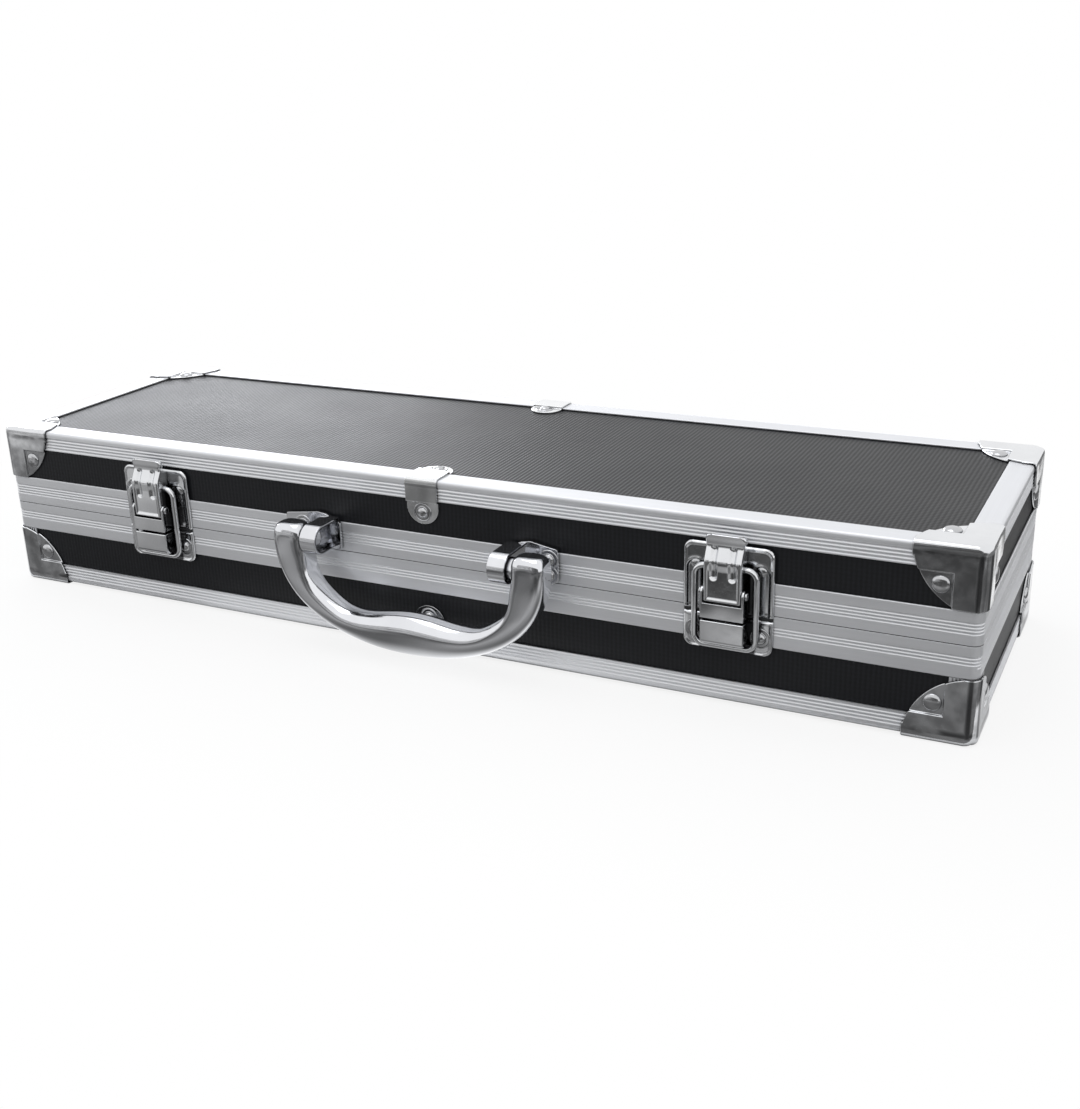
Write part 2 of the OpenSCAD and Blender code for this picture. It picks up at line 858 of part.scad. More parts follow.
module latch_pins() {
    head = 1.6;
    color(chrome) for (s = [left, right]) at_latch(s)
        translate([0, pivot_v, pivot_w]) rotate([0, 90, 0]) {
            cylinder(r = lever_pin_r, h = bracket_w + 1, center = true);
            for (e = [-1, 1]) translate([0, 0, e * (bracket_w + 1) / 2])
                cylinder(r = head, h = 1, center = true);
        }
}

// Lever: a bent face between two side flanges that carry the pin and the bail
module latch_lever(side) {
    face = bracket_v;
    dip = face - lever_dip;
    lip_top = dip + 1.2;
    web = lever_t;
    rib_r = 1.5;
    rib = [[face - 0.8, lever_flat - 6], [face - 0.8, lever_flat - 0.6], [dip - 0.4, lever_waist - 1]];
    color(chrome) at_latch(side) difference() {
        union() {
            along_x(lever_w) polygon([
                [face, lever_foot], [face, lever_flat], [dip, lever_waist], [lip_top, lever_lip],
                [lip_top - web * 1.2, lever_lip], [dip - web, lever_waist],
                [face - web, lever_flat], [face - web, lever_foot]
            ]);
            side_walls(lever_w / 2, lever_t) {
                polygon([
                    [face, lever_foot], [face, lever_flat], [dip, lever_waist],
                    [dip - web, lever_waist], [bail_v - 1.8, bail_top + 1.6],
                    [bail_v - 1.8, bail_top - 1.4], [pivot_v - ear_r, pivot_w],
                    [pivot_v - 1, lever_foot]
                ]);
                translate([pivot_v, pivot_w]) circle(ear_r);
            }
            // Two ribs pressed across the bend stiffen the face
            for (s = [-1, 1], run = [[0, 1], [1, 2]]) hull()
                for (k = run) translate([s * 3.6, rib[k].x, rib[k].y]) sphere(rib_r, $fn = 20);
        }
        translate([0, pivot_v, pivot_w]) rotate([0, 90, 0])
            cylinder(r = lever_pin_r + pin_fit, h = lever_w + 2, center = true);
        translate([0, bail_v, bail_top]) rotate([0, 90, 0])
            cylinder(r = wire_r + pin_fit, h = lever_w + 2, center = true);
    }
}

// Bail: a closed ring of round wire, from the lever down round the keeper
module latch_bail(side) {
    half = bail_w / 2 - wire_r;
    high = bail_top;
    low = -bail_bottom;
    color(chrome) at_latch(side) translate([0, bail_v, 0]) rotate([90, 0, 0]) {
        for (s = [-1, 1]) {
            translate([s * half, (high + low) / 2, 0]) rotate([90, 0, 0])
                cylinder(r = wire_r, h = high - low - 2 * bail_r, center = true);
        }
        for (z = [high, low]) {
            translate([0, z, 0]) rotate([0, 90, 0])
                cylinder(r = wire_r, h = 2 * (half - bail_r), center = true);
        }
        for (i = [0:3]) {
            x = (i == 0 || i == 3) ? half - bail_r : bail_r - half;
            z = i < 2 ? high - bail_r : low + bail_r;
            translate([x, z, 0]) rotate([0, 0, 90 * i]) rotate_extrude(angle = 90)
                translate([bail_r, 0]) circle(wire_r);
        }
    }
}

// Handle outline: a superellipse hung from the pivots, thicker in the grip than at the corners
outline_n = 2.15;
ring_n = 40;
ring_sides = 16;
dome_n = 4;

// Distance along the handle, from 0 at an arm to 1 in the middle of the grip
function middle(a) = 1 - abs(a - 90) / 90;
function smooth(t) = t * t * (3 - 2 * t);
function blend(t, from, to, a, b) = a + (b - a) * smooth(min(1, max(0, (t - from) / (to - from))));
function outer_point(a) = [
    handle_half * sign(cos(a)) * pow(abs(cos(a)), 2 / outline_n),
    -handle_drop * pow(sin(a), 2 / outline_n)
];
function unit(v) = v / norm(v);
function outer_normal(a) =
    let (d = unit(outer_point(min(180, a + 1)) - outer_point(max(0, a - 1))))
    (a <= 1 || a >= 179) ? [sign(cos(a)), 0] : [-d.y, d.x];
function width_at(a) = let (t = middle(a))
    t < 0.5 ? blend(t, 0.1, 0.45, arm_w, corner_w) : blend(t, 0.6, 1, corner_w, grip_w);
function depth_at(a) = blend(middle(a), 0.4, 1, arm_d, grip_d);
function section(centre, across, w, d) = [
    for (k = [0:ring_sides - 1]) let (c = 360 * k / ring_sides)
        [centre.x + across.x * cos(c) * w / 2, sin(c) * d / 2, centre.y + across.y * cos(c) * w / 2]
];
function bend_ring(a) = let (n = outer_normal(a), w = width_at(a))
    section(outer_point(a) - n * w / 2, n, w, depth_at(a));
function dome_ring(s, i) = let (a = 90 * i / dome_n)
    section([s * arm_x, arm_top * sin(a)], [s, 0], arm_w * (0.25 + 0.75 * cos(a)),
        arm_d * (0.25 + 0.75 * cos(a)));

// A closed tube through rings of points that all have the same number of sides
module skin(rings) {
    m = len(rings[0]);
    n = len(rings);
    points = [for (r = rings) each r];
    sides = [
        for (i = [0:n - 2], k = [0:m - 1]) let (a = i * m + k, b = i * m + (k + 1) % m)
            each [[a, b, b + m], [a, b + m, a + m]]
    ];
    ends = [
        [for (k = [0:m - 1]) m - 1 - k],
        [for (k = [0:m - 1]) (n - 1) * m + k]
    ];
    polyhedron(points, concat(sides, ends));
}

module handle() {
    rings = concat(
        [for (i = [dome_n:-1:1]) dome_ring(1, i)],
        [for (i = [0:ring_n]) bend_ring(180 * i / ring_n)],
        [for (i = [1:dome_n]) dome_ring(-1, i)]
    );
    color(chrome) at_lid() translate([handle_x, -face_y - handle_v, handle_w]) {
        skin(rings);
        for (s = [-1, 1]) translate([s * (pin_end + arm_x) / 2, 0, 0]) rotate([0, 90, 0])
            cylinder(r = handle_pin_r, h = arm_x - pin_end, center = true);
    }
}

// Handle bracket: a plate on the lid's rim, a neck out from it and a barrel for the pin
module handle_bracket(side) {
    low = 0.8;
    top_in = 17;
    top_out = 14.6;
    color(chrome) at_lid() translate([handle_x, -face_y, 0]) mirror([0, 1, 0]) difference() {
        flip([1, 0, 0], side == left) union() {
            upright_sheet(0, foot_t) polygon([
                [barrel_out - 7, low], [foot_out, low], [foot_out, top_out],
                [barrel_out + 4, top_in], [barrel_out - 7, top_in - 4]
            ]);
            translate([barrel_out - 3.5, 0, 0]) along_x(7) polygon([
                [0, low + 1], [0, top_in - 2], [4, top_in - 2.2],
                [handle_v, handle_w + barrel_r - 0.2], [handle_v, handle_w - barrel_r + 0.2],
                [4, low + 1.4]
            ]);
            translate([(barrel_in + barrel_out) / 2, handle_v, handle_w]) rotate([0, 90, 0])
                cylinder(r = barrel_r, h = barrel_out - barrel_in, center = true);
        }
        translate([side * (barrel_in + barrel_out) / 2, handle_v, handle_w]) rotate([0, 90, 0])
            cylinder(r = handle_pin_r + pin_fit, h = barrel_out - barrel_in + 2, center = true);
        for (w = foot_rivets) translate([side * arm_x, 0, w]) rotate([90, 0, 0]) rivet_hole();
    }
}

// Hinge frame: X along the pin, Y out from the back rim's face, Z up from the parting line
module at_hinge(side) {
    at_lid() translate([side * hinge_x, face_y, 0]) children();
}

module knuckle(from, to) {
    translate([(from + to) / 2, hinge_v, 0]) rotate([0, 90, 0])
        cylinder(r = knuckle_r, h = to - from, center = true);
}

// A leaf as drawn on the lid; the places for the other leaf's knuckles are cut away
module leaf(own_knuckles, other_knuckles) {
    clear = knuckle_r + 0.4;
    difference() {
        union() {
            translate([-hinge_l / 2, 0, 0]) cube([hinge_l, leaf_t, leaf_h]);
            for (k = own_knuckles) knuckle(k[0], k[1]);
        }
        for (k = other_knuckles)
            translate([k[0] - knuckle_gap, -over, -clear])
                cube([k[1] - k[0] + 2 * knuckle_gap, hinge_v + knuckle_r + 2 * over, 2 * clear]);
        for (e = [-1, 1]) translate([e * leaf_rivet_x, 0, leaf_rivet_w])
            rotate([-90, 0, 0]) rivet_hole();
    }
}

module hinge_bore() {
    translate([0, hinge_v, 0]) rotate([0, 90, 0])
        cylinder(r = hinge_pin_r + pin_fit, h = hinge_l + 2, center = true);
}

lid_knuckles = [[-knuckle_l / 2, knuckle_l / 2]];
base_knuckles = [
    [-hinge_l / 2, -knuckle_l / 2 - knuckle_gap],
    [knuckle_l / 2 + knuckle_gap, hinge_l / 2]
];

// The lid's knuckle carries a lug that comes to rest on the base's leaf when the lid is open
module lid_hinge_leaf(side) {
    color(chrome) at_hinge(side) difference() {
        union() {
            leaf(lid_knuckles, base_knuckles);
            translate([0, hinge_v, 0]) rotate([lid_open, 0, 0])
                translate([-lug_w / 2, -lug_in, -lug_l]) cube([lug_w, lug_t, lug_l - knuckle_r / 1.5]);
        }
        hinge_bore();
    }
}

module base_hinge_leaf(side) {
    color(chrome) at_hinge(side) mirror([0, 0, 1]) difference() {
        leaf(base_knuckles, lid_knuckles);
        hinge_bore();
    }
}

module hinge_pins() {
    color(chrome) for (s = [left, right]) at_hinge(s) translate([0, hinge_v, 0])
        rotate([0, 90, 0]) cylinder(r = hinge_pin_r, h = hinge_l + 1, center = true);
}

// Foam insert: pockets for tongs, a turner, a knife and a fork, die-cut down to a thin floor
module slot(x0, x1, y, w) {
    r = w / 2;
    translate([x0 + r, y - r]) square([x1 - x0 - w, w]);
    for (x = [x0 + r, x1 - r]) translate([x, y]) circle(r);
}

module pocket_plan() {
    edge_x = room_x - foam_fit - pocket_wall;
    edge_y = room_y - foam_fit - pocket_wall / 2;
    tongs_y = tongs_w / 2 - edge_y;
    blade_y = edge_y - blade_w / 2;
    start = blade_l - edge_x;
    slot(-tongs_l / 2, tongs_l / 2, tongs_y, tongs_w);
    translate([(start - edge_x) / 2, blade_y]) round_rect(blade_l / 2, blade_w / 2, 8);
    slot(start - grip_pocket_w, edge_x, blade_y, grip_pocket_w);
    for (s = [-1, 1])
        slot(edge_x - slim_l, edge_x, blade_y + s * (blade_w - slim_w) / 2, slim_w);
}

module base_foam_insert() {
    low = cap_t + trim_t + panel_t;
    color(foam) translate([0, case_y, low]) difference() {
        translate([foam_fit - room_x, foam_fit - room_y, 0])
            cube([2 * (room_x - foam_fit), 2 * (room_y - foam_fit), insert_h]);
        translate([0, 0, insert_floor]) linear_extrude(insert_h) pocket_plan();
    }
}

module lid_foam_pad() {
    top = lid_h - cap_t - trim_t - panel_t;
    color(foam) at_lid() translate([foam_fit - room_x, foam_fit - room_y, top - pad_h])
        cube([2 * (room_x - foam_fit), 2 * (room_y - foam_fit), pad_h]);
}

lid_panel() face_panel(lid_h);  // lid_top_panel
lid_panel() long_panel(lid_h, front);  // lid_front_panel
lid_panel() long_panel(lid_h, back);  // lid_back_panel
lid_panel() short_panel(lid_h, left);  // lid_left_panel
lid_panel() short_panel(lid_h, right);  // lid_right_panel
at_lid() long_trim(lid_h, front);  // lid_front_trim
at_lid() long_trim(lid_h, back);  // lid_back_trim
at_lid() short_trim(lid_h, left);  // lid_left_trim
at_lid() short_trim(lid_h, right);  // lid_right_trim
at_lid() corner_posts(lid_h);  // lid_corner_posts
lid_long_rim(front);  // lid_front_rim
lid_long_rim(back);  // lid_back_rim
lid_short_rim(left);  // lid_left_rim
lid_short_rim(right);  // lid_right_rim
lid_cap(left, front);  // lid_cap_front_left
lid_cap(right, front);  // lid_cap_front_right
lid_cap(left, back);  // lid_cap_back_left
lid_cap(right, back);  // lid_cap_back_right
lid_rivets();
at_lid() clips(lid_h);  // lid_clips
latch_plate(left);  // latch_plate_left
latch_plate(right);  // latch_plate_right
latch_pins();
handle_bracket(left);  // handle_bracket_left
handle_bracket(right);  // handle_bracket_right
lid_hinge_leaf(left);  // lid_hinge_leaf_left
lid_hinge_leaf(right);  // lid_hinge_leaf_right
lid_foam_pad();
base_panel() face_panel(base_h);  // base_bottom_panel
base_panel() long_panel(base_h, front);  // base_front_panel
base_panel() long_panel(base_h, back);  // base_back_panel
base_panel() short_panel(base_h, left);  // base_left_panel
base_panel() short_panel(base_h, right);  // base_right_panel
at_base() long_trim(base_h, front);  // base_front_trim
at_base() long_trim(base_h, back);  // base_back_trim
at_base() short_trim(base_h, left);  // base_left_trim
at_base() short_trim(base_h, right);  // base_right_trim
at_base() corner_posts(base_h);  // base_corner_posts
base_long_rim(front);  // base_front_rim
base_long_rim(back);  // base_back_rim
base_short_rim(left);  // base_left_rim
base_short_rim(right);  // base_right_rim
base_cap(left, front);  // base_cap_front_left
base_cap(right, front);  // base_cap_front_right
base_cap(left, back);  // base_cap_back_left
base_cap(right, back);  // base_cap_back_right
base_rivets();
at_base() clips(base_h);  // base_clips
keeper_plate(left);  // keeper_plate_left
keeper_plate(right);  // keeper_plate_right
base_hinge_leaf(left);  // base_hinge_leaf_left
base_hinge_leaf(right);  // base_hinge_leaf_right
hinge_pins();
base_foam_insert();
handle();
latch_lever(left);  // latch_lever_left
latch_lever(right);  // latch_lever_right
latch_bail(left);  // latch_bail_left
latch_bail(right);  // latch_bail_right
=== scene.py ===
"""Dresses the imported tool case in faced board, ribbed aluminium strip, pressed steel and foam."""

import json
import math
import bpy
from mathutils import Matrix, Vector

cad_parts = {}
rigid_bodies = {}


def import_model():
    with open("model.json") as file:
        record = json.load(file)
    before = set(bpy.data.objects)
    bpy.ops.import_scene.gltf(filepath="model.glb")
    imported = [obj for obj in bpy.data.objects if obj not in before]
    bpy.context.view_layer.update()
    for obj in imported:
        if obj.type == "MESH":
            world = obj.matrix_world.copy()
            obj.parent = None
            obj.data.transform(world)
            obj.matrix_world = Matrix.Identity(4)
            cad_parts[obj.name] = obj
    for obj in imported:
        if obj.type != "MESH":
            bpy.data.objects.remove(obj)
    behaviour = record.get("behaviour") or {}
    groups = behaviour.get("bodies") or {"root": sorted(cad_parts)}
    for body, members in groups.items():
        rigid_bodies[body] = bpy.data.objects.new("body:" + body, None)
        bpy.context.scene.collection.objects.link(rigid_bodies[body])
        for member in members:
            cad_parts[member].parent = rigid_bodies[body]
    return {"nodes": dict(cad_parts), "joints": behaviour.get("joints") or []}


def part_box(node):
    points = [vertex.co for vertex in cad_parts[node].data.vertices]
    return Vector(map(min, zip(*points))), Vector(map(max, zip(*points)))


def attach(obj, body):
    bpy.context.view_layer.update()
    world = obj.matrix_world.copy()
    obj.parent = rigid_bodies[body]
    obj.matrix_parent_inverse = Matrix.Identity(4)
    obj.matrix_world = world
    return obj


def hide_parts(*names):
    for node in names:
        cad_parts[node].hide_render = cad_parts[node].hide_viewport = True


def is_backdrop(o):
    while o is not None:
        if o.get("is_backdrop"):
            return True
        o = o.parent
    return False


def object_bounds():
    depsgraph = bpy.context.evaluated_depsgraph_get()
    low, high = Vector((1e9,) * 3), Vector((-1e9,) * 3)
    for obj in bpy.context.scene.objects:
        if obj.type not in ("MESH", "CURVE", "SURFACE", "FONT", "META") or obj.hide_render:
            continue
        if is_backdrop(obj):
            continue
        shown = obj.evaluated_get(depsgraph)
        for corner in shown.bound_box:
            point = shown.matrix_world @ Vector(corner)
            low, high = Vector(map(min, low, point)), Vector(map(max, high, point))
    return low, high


bl_info = {
    "name": "Latched Tool Case",
    "version": (1, 0, 0),
    "blender": (4, 5, 0),
    "location": "View3D > Sidebar > Tool Case",
    "description": "Builds the fittings, finishes and studio of a latched tool case",
    "category": "Object",
}

import bmesh
import bpy
import numpy as np
from mathutils import Matrix, Vector

for leftover in list(bpy.data.objects):
    bpy.data.objects.remove(leftover)
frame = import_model()
CAD_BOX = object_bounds()
MM = 0.001
HALVES = ("lid", "base")
SIDES = ("left", "right")
# The way that each wall runs, as seen from above, with the inside of the case on its left
WALLS = {"front": (1, 0), "back": (-1, 0), "left": (0, -1), "right": (0, 1)}

# Places that the frame gives, in metres
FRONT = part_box("lid_front_rim")[0].y
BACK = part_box("lid_back_rim")[1].y
MIDDLE_Y, HALF_DEPTH = (FRONT + BACK) / 2, (BACK - FRONT) / 2
EDGE_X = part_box("lid_right_rim")[1].x
TRIM_FOOT, TRIM_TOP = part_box("base_front_trim")[0].z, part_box("lid_front_trim")[1].z
ENDS = ((-EDGE_X, EDGE_X), (FRONT, BACK), (TRIM_FOOT, TRIM_TOP))
PIVOT = {j["name"]: Vector(j["pos_m"]) for j in frame["joints"]}
PARTING = PIVOT["lid_hinge"].z
LATCH_X = {s: PIVOT[f"lever_{s}_pivot"].x for s in SIDES}
# The parting between a latch plate and its keeper, 10.4 mm below the lever's pin
LATCH_Z = PIVOT["lever_left_pivot"].z - 10.4 * MM
HANDLE_X = sum(c.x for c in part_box("handle")) / 2
# Outside radius of the case's long edges in the solids, in millimetres
BEND = 4.0


# ---- sizes and colours


def length(name, text, value):
    """A size in millimetres, kept in metres."""
    return bpy.props.FloatProperty(
        name=name, description=text, default=value * MM, unit="LENGTH", precision=5
    )


def number(name, text, value):
    return bpy.props.FloatProperty(name=name, description=text, default=value)


def colour(name, text, value):
    return bpy.props.FloatVectorProperty(
        name=name, description=text, default=value, subtype="COLOR", size=3, min=0, max=1
    )


class CaseFinishes(bpy.types.PropertyGroup):
    """Colours and surface textures."""

    board: colour("Board", "Black facing of the panels", (0.0085, 0.0092, 0.0112))
    board_pitch: length("Emboss pitch", "Distance between the facing's embossed cords", 1.86)
    strip: colour("Aluminium", "Satin aluminium of the strips", (0.79, 0.80, 0.825))
    steel: colour("Pressed steel", "Plating of the caps, latches and hinges", (0.80, 0.81, 0.83))
    # The clips' plating is a lighter copy of the steel: painted light, standing for the light their
    # tabs catch.
    clip: colour("Clips", "Plating of the edge clips", (0.93, 0.94, 0.96))
    rivet: colour("Rivets", "Plating of the rivet heads and pins", (0.58, 0.585, 0.60))
    handle: colour("Handle", "Plating of the handle and its brackets", (0.82, 0.83, 0.86))
    foam: colour("Foam", "Foam of the insert and the pad", (0.03, 0.03, 0.033))


class CaseSizes(bpy.types.PropertyGroup):
    """Sizes of the fittings that the solids leave plain."""

    edge: length("Rounded edge", "Rounding of pressed sheet edges", 0.3)
    bead: length("Plate bead", "Height of the bead rolled round a latch plate", 0.4)
    dish: length("Plate dish", "Depth of the dishes pressed into a latch plate", 0.6)
    wire: length("Bail wire", "Radius of the bail's wire", 1.2)
    pad_wave: length("Pad wave", "Depth of the waves cut into the lid's foam", 2.6)


class CaseStudio(bpy.types.PropertyGroup):
    """Camera and light."""

    lens: bpy.props.FloatProperty(
        name="Lens", description="Focal length on the long side of the sensor",
        default=46.043, unit="CAMERA",
    )
    camera_place: bpy.props.FloatVectorProperty(
        name="Camera place", description="Where the camera stands",
        default=(0.2932, -0.53627, 0.2532), subtype="TRANSLATION", unit="LENGTH",
    )
    camera_turn: bpy.props.FloatVectorProperty(
        name="Camera turn", description="Tilt from straight down, turn round the vertical, roll",
        default=tuple(math.radians(a) for a in (69.243, 26.489, -1.777)), subtype="EULER",
    )
    sky: number("Sky", "Strength of the even light from all round", 0.8)
    card_tone: number("Card tone", "Brightness of the grey cards that the plating mirrors", 1.0)


def finishes():
    return bpy.context.scene.case_finishes


def sizes():
    return bpy.context.scene.case_sizes


# ---- shader helpers


class Wire:
    """One output socket that can be used in sums and products."""

    def __init__(self, sheet, socket):
        self.sheet, self.socket = sheet, socket

    def maths(self, operation, *ends):
        return self.sheet.make("ShaderNodeMath", {"operation": operation}, ends)

    def __add__(self, other):
        return self.maths("ADD", self, other)

    def __sub__(self, other):
        return self.maths("SUBTRACT", self, other)

    def __rsub__(self, other):
        return self.maths("SUBTRACT", other, self)

    def __mul__(self, other):
        return self.maths("MULTIPLY", self, other)

    def __abs__(self):
        return self.maths("ABSOLUTE", self)

    def least(self, other):
        return self.maths("MINIMUM", self, other)

    def most(self, other):
        return self.maths("MAXIMUM", self, other)

    def cosine(self):
        return self.maths("COSINE", self)

    def root(self):
        return self.maths("SQRT", self)

    def ramp(self, low, high, start=0.0, end=1.0):
        """A smooth step from start to end as the value goes from low to high."""
        smooth = {"interpolation_type": "SMOOTHSTEP"}
        return self.sheet.make("ShaderNodeMapRange", smooth, (self, low, high, start, end))

    def rise(self, low, high):
        """0 up to 1 between two lengths in millimetres."""
        return self.ramp(low * MM, high * MM)

    def fall(self, low, high):
        """1 down to 0 between two lengths in millimetres."""
        return self.ramp(low * MM, high * MM, 1.0, 0.0)


class Sheet:
    """The node tree of one material or of the world."""

    def __init__(self, owner):
        owner.use_nodes = True
        self.owner, self.tree = owner, owner.node_tree
        self.tree.nodes.clear()

    def plug(self, socket, value):
        if isinstance(value, Wire):
            self.tree.links.new(value.socket, socket)
        elif value is not None:
            socket.default_value = value

    def make(self, kind, settings=None, values=(), out=0, **named):
        """A node with its settings, and the values or links of its sockets in order or by name."""
        node = self.tree.nodes.new(kind)
        for key, value in (settings or {}).items():
            setattr(node, key, value)
        for socket, value in zip(node.inputs, values):
            self.plug(socket, value)
        for key, value in named.items():
            self.plug(node.inputs[key.replace("_", " ")], value)
        return Wire(self, node.outputs[out])

    def point(self, *scales):
        """The Object coordinates, stretched by a scale along each axis where scales are given."""
        place = self.make("ShaderNodeTexCoord", out="Object")
        if scales:
            place = self.make("ShaderNodeVectorMath", {"operation": "MULTIPLY"}, (place, scales))
        return place

    def axes(self):
        split = self.make("ShaderNodeSeparateXYZ", None, (self.point(),)).socket.node
        return [Wire(self, socket) for socket in split.outputs]

    def noise(self, scale, detail=2.0, roughness=0.5, stretch=()):
        return self.make(
            "ShaderNodeTexNoise", None, (), Vector=self.point(*stretch), Scale=scale,
            Detail=detail, Roughness=roughness,
        )

    def blend(self, factor, first, second):
        """The first colour turns into the second as the factor goes from 0 to 1."""
        node = self.make("ShaderNodeMix", {"data_type": "RGBA"}).socket.node
        for i, value in ((0, factor), (6, first), (7, second)):
            self.plug(node.inputs[i], value)
        return Wire(self, node.outputs[2])

    def bump(self, height, strength, distance, under=None):
        return self.make(
            "ShaderNodeBump", None, (), Height=height, Strength=strength, Distance=distance,
            Normal=under,
        )

    def nook(self, reach):
        """Ambient occlusion, 1 in the open and towards 0 deep in a gap, looking as far as reach;
        the finishes paint shade into their colours with it.
        """
        seen = self.make("ShaderNodeAmbientOcclusion", {"samples": 6}, out="AO", Distance=reach)
        return seen.ramp(0.12, 0.82)

    def end(self, shader, kind="ShaderNodeOutputMaterial"):
        self.plug(self.tree.nodes.new(kind).inputs["Surface"], shader)
        return self.owner

    def surface(self, **values):
        return self.end(self.make("ShaderNodeBsdfPrincipled", None, (), **values))


def rgba(tone, scale=1.0):
    return (*[min(1.0, c * scale) for c in tone], 1.0)


# ---- finishes

MADE = {}


def finish(build):
    """Turns a function that wires a sheet into one that makes the material once for its words."""

    def made(*words):
        name = "_".join((build.__name__, *words))
        if name not in MADE:
            MADE[name] = build(Sheet(bpy.data.materials.new(name)), *words)
        return MADE[name]

    return made


@finish
def faced_board(sheet, plane):
    """Black facing with fine embossed cords in the panel's own plane, such as xy for the top."""
    tones = finishes()
    axes = sheet.axes()
    first, second = [axes["xyz".index(letter)] * (math.tau / tones.board_pitch) for letter in plane]
    height = ((first + sheet.noise(60.0) * 1.6).cosine() + second.cosine() * 0.4).ramp(-1.2, 1.3)
    worn = height * 0.8 + sheet.noise(1500.0) * 0.25
    shade = sheet.blend(worn, rgba(tones.board, 0.7), rgba(tones.board, 1.25))
    rough = sheet.noise(24.0, 3.0) * 0.10 + height * -0.12 + 0.44
    relief = sheet.bump(worn, 0.8, (0.17 if plane == "xy" else 0.1) * MM)
    return sheet.surface(Base_Color=shade, Roughness=rough, Normal=relief, Specular_IOR_Level=0.27)


@finish
def satin_aluminium(sheet, along):
    """Rolled strip: fine draw lines run along it, with painted shade in its crevices and in the gap
    behind a latch.
    """
    tone = finishes().strip
    x, y, z = sheet.axes()
    draw = sheet.noise(1.0, 2.0, 0.6, [14.0 if axis == along else 2400.0 for axis in "xyz"])
    cloud = sheet.noise(18.0, 3.0)
    clean = sheet.blend(draw * 0.55 + cloud * 0.45, rgba(tone, 0.88), rgba(tone, 1.06))
    # Painted shade: the colour darkens in crevices found by ambient occlusion, and in a band along
    # the parting between each latch plate and its keeper.
    beside = abs(x - LATCH_X["left"]).least(abs(x - LATCH_X["right"]))
    gap = abs(z - LATCH_Z).fall(1.1, 1.6) * beside.fall(17.6, 18.2) * (y - FRONT).fall(6.0, 7.0)
    shade = sheet.blend(sheet.nook(5 * MM) * (1.0 - gap * 0.95), rgba(tone, 0.05), clean)
    rough = draw * 0.16 + cloud * 0.10 + 0.36
    relief = sheet.bump(draw, 0.22, 0.04 * MM)
    return sheet.surface(Base_Color=shade, Metallic=0.84, Roughness=rough, Normal=relief)


def plating(sheet, tone, rough, wave, shade_and_dulling=0.0):
    """Bright plating with slow waves, wiping marks and a little dulling, painted shade where
    ambient occlusion finds a crevice, and the given painted shade and dulling from 0 to 1.
    """
    wiped = sheet.noise(1.0, 3.0, 0.65, (260.0, 900.0, 420.0))
    cloud = sheet.noise(70.0, 4.0)
    clean = sheet.blend(cloud, rgba(tone, 0.88), rgba(tone, 1.06))
    # Painted shade: the colour falls towards black where ambient occlusion finds nearby surfaces.
    clean = sheet.blend(sheet.nook(4 * MM), rgba(tone, 0.06), clean)
    # The given painted shade and dulling darken the colour further.
    shade = sheet.blend(shade_and_dulling, clean, (0.02, 0.02, 0.022, 1.0))
    rough = (wiped * 0.6 + cloud * 0.4).ramp(0.3, 0.75, *rough)
    relief = sheet.bump(wiped, 0.05, 0.02 * MM, sheet.bump(sheet.noise(55.0, 1.0), 0.6, wave * MM))
    return sheet.surface(Base_Color=shade, Metallic=1.0, Roughness=rough, Normal=relief)


def inwards(place, ends):
    """How far a coordinate lies inside the nearer of two ends."""
    return (place - ends[0]).least(ends[1] - place)


@finish
def pressed_steel(sheet):
    return plating(sheet, finishes().steel, (0.09, 0.2), 1.4)


@finish
def latch_steel(sheet, side):
    """The latch's plating, with painted shade in the hollow behind its lever and bracket."""
    x, y, z = sheet.axes()
    # Painted shade in the hollow behind the lever, fading out above the bracket.
    hollow = abs(x - LATCH_X[side]).fall(10.6, 11.8) * (FRONT - y).fall(5.6, 7.4)
    shade_and_dulling = hollow * (z - LATCH_Z).fall(19.0, 23.0) * 0.93
    return plating(sheet, finishes().steel, (0.09, 0.2), 0.8, shade_and_dulling)


@finish
def cap_steel(sheet):
    """The caps' plating, with painted shade along their bends, stronger on the right-hand caps, and
    random cloudy dulling.
    """
    axes = sheet.axes()
    wide, deep, tall = map(inwards, axes, ENDS)
    # Painted shade: dark lines beside the upright bends, stronger on the right-hand caps, and a
    # patchy dark band under the top and bottom folds; the clouds below are random dulling.
    upright = wide.rise(1.2, 2.0) * wide.fall(2.7, 4.2)
    upright = upright.most(deep.rise(1.2, 2.0) * deep.fall(2.7, 4.2))
    upright = upright * axes[0].ramp(-0.1, 0.1, 0.25, 1.0) * tall.rise(1.6, 3.0)
    patchy = sheet.noise(1.0, 3.0, stretch=(90.0, 90.0, 160.0)).ramp(0.38, 0.62)
    level = tall.rise(2.2, 2.9) * tall.fall(3.4, 6.0) * (patchy * 0.7 + 0.3)
    shade = upright.most(level) * deep.least(wide).fall(0.3, 0.5) * 0.8
    clouds = sheet.noise(130.0).ramp(0.35, 0.68) * 0.42 * tall.rise(1.0, 2.5)
    return plating(sheet, finishes().steel, (0.08, 0.2), 1.4, shade.most(clouds))


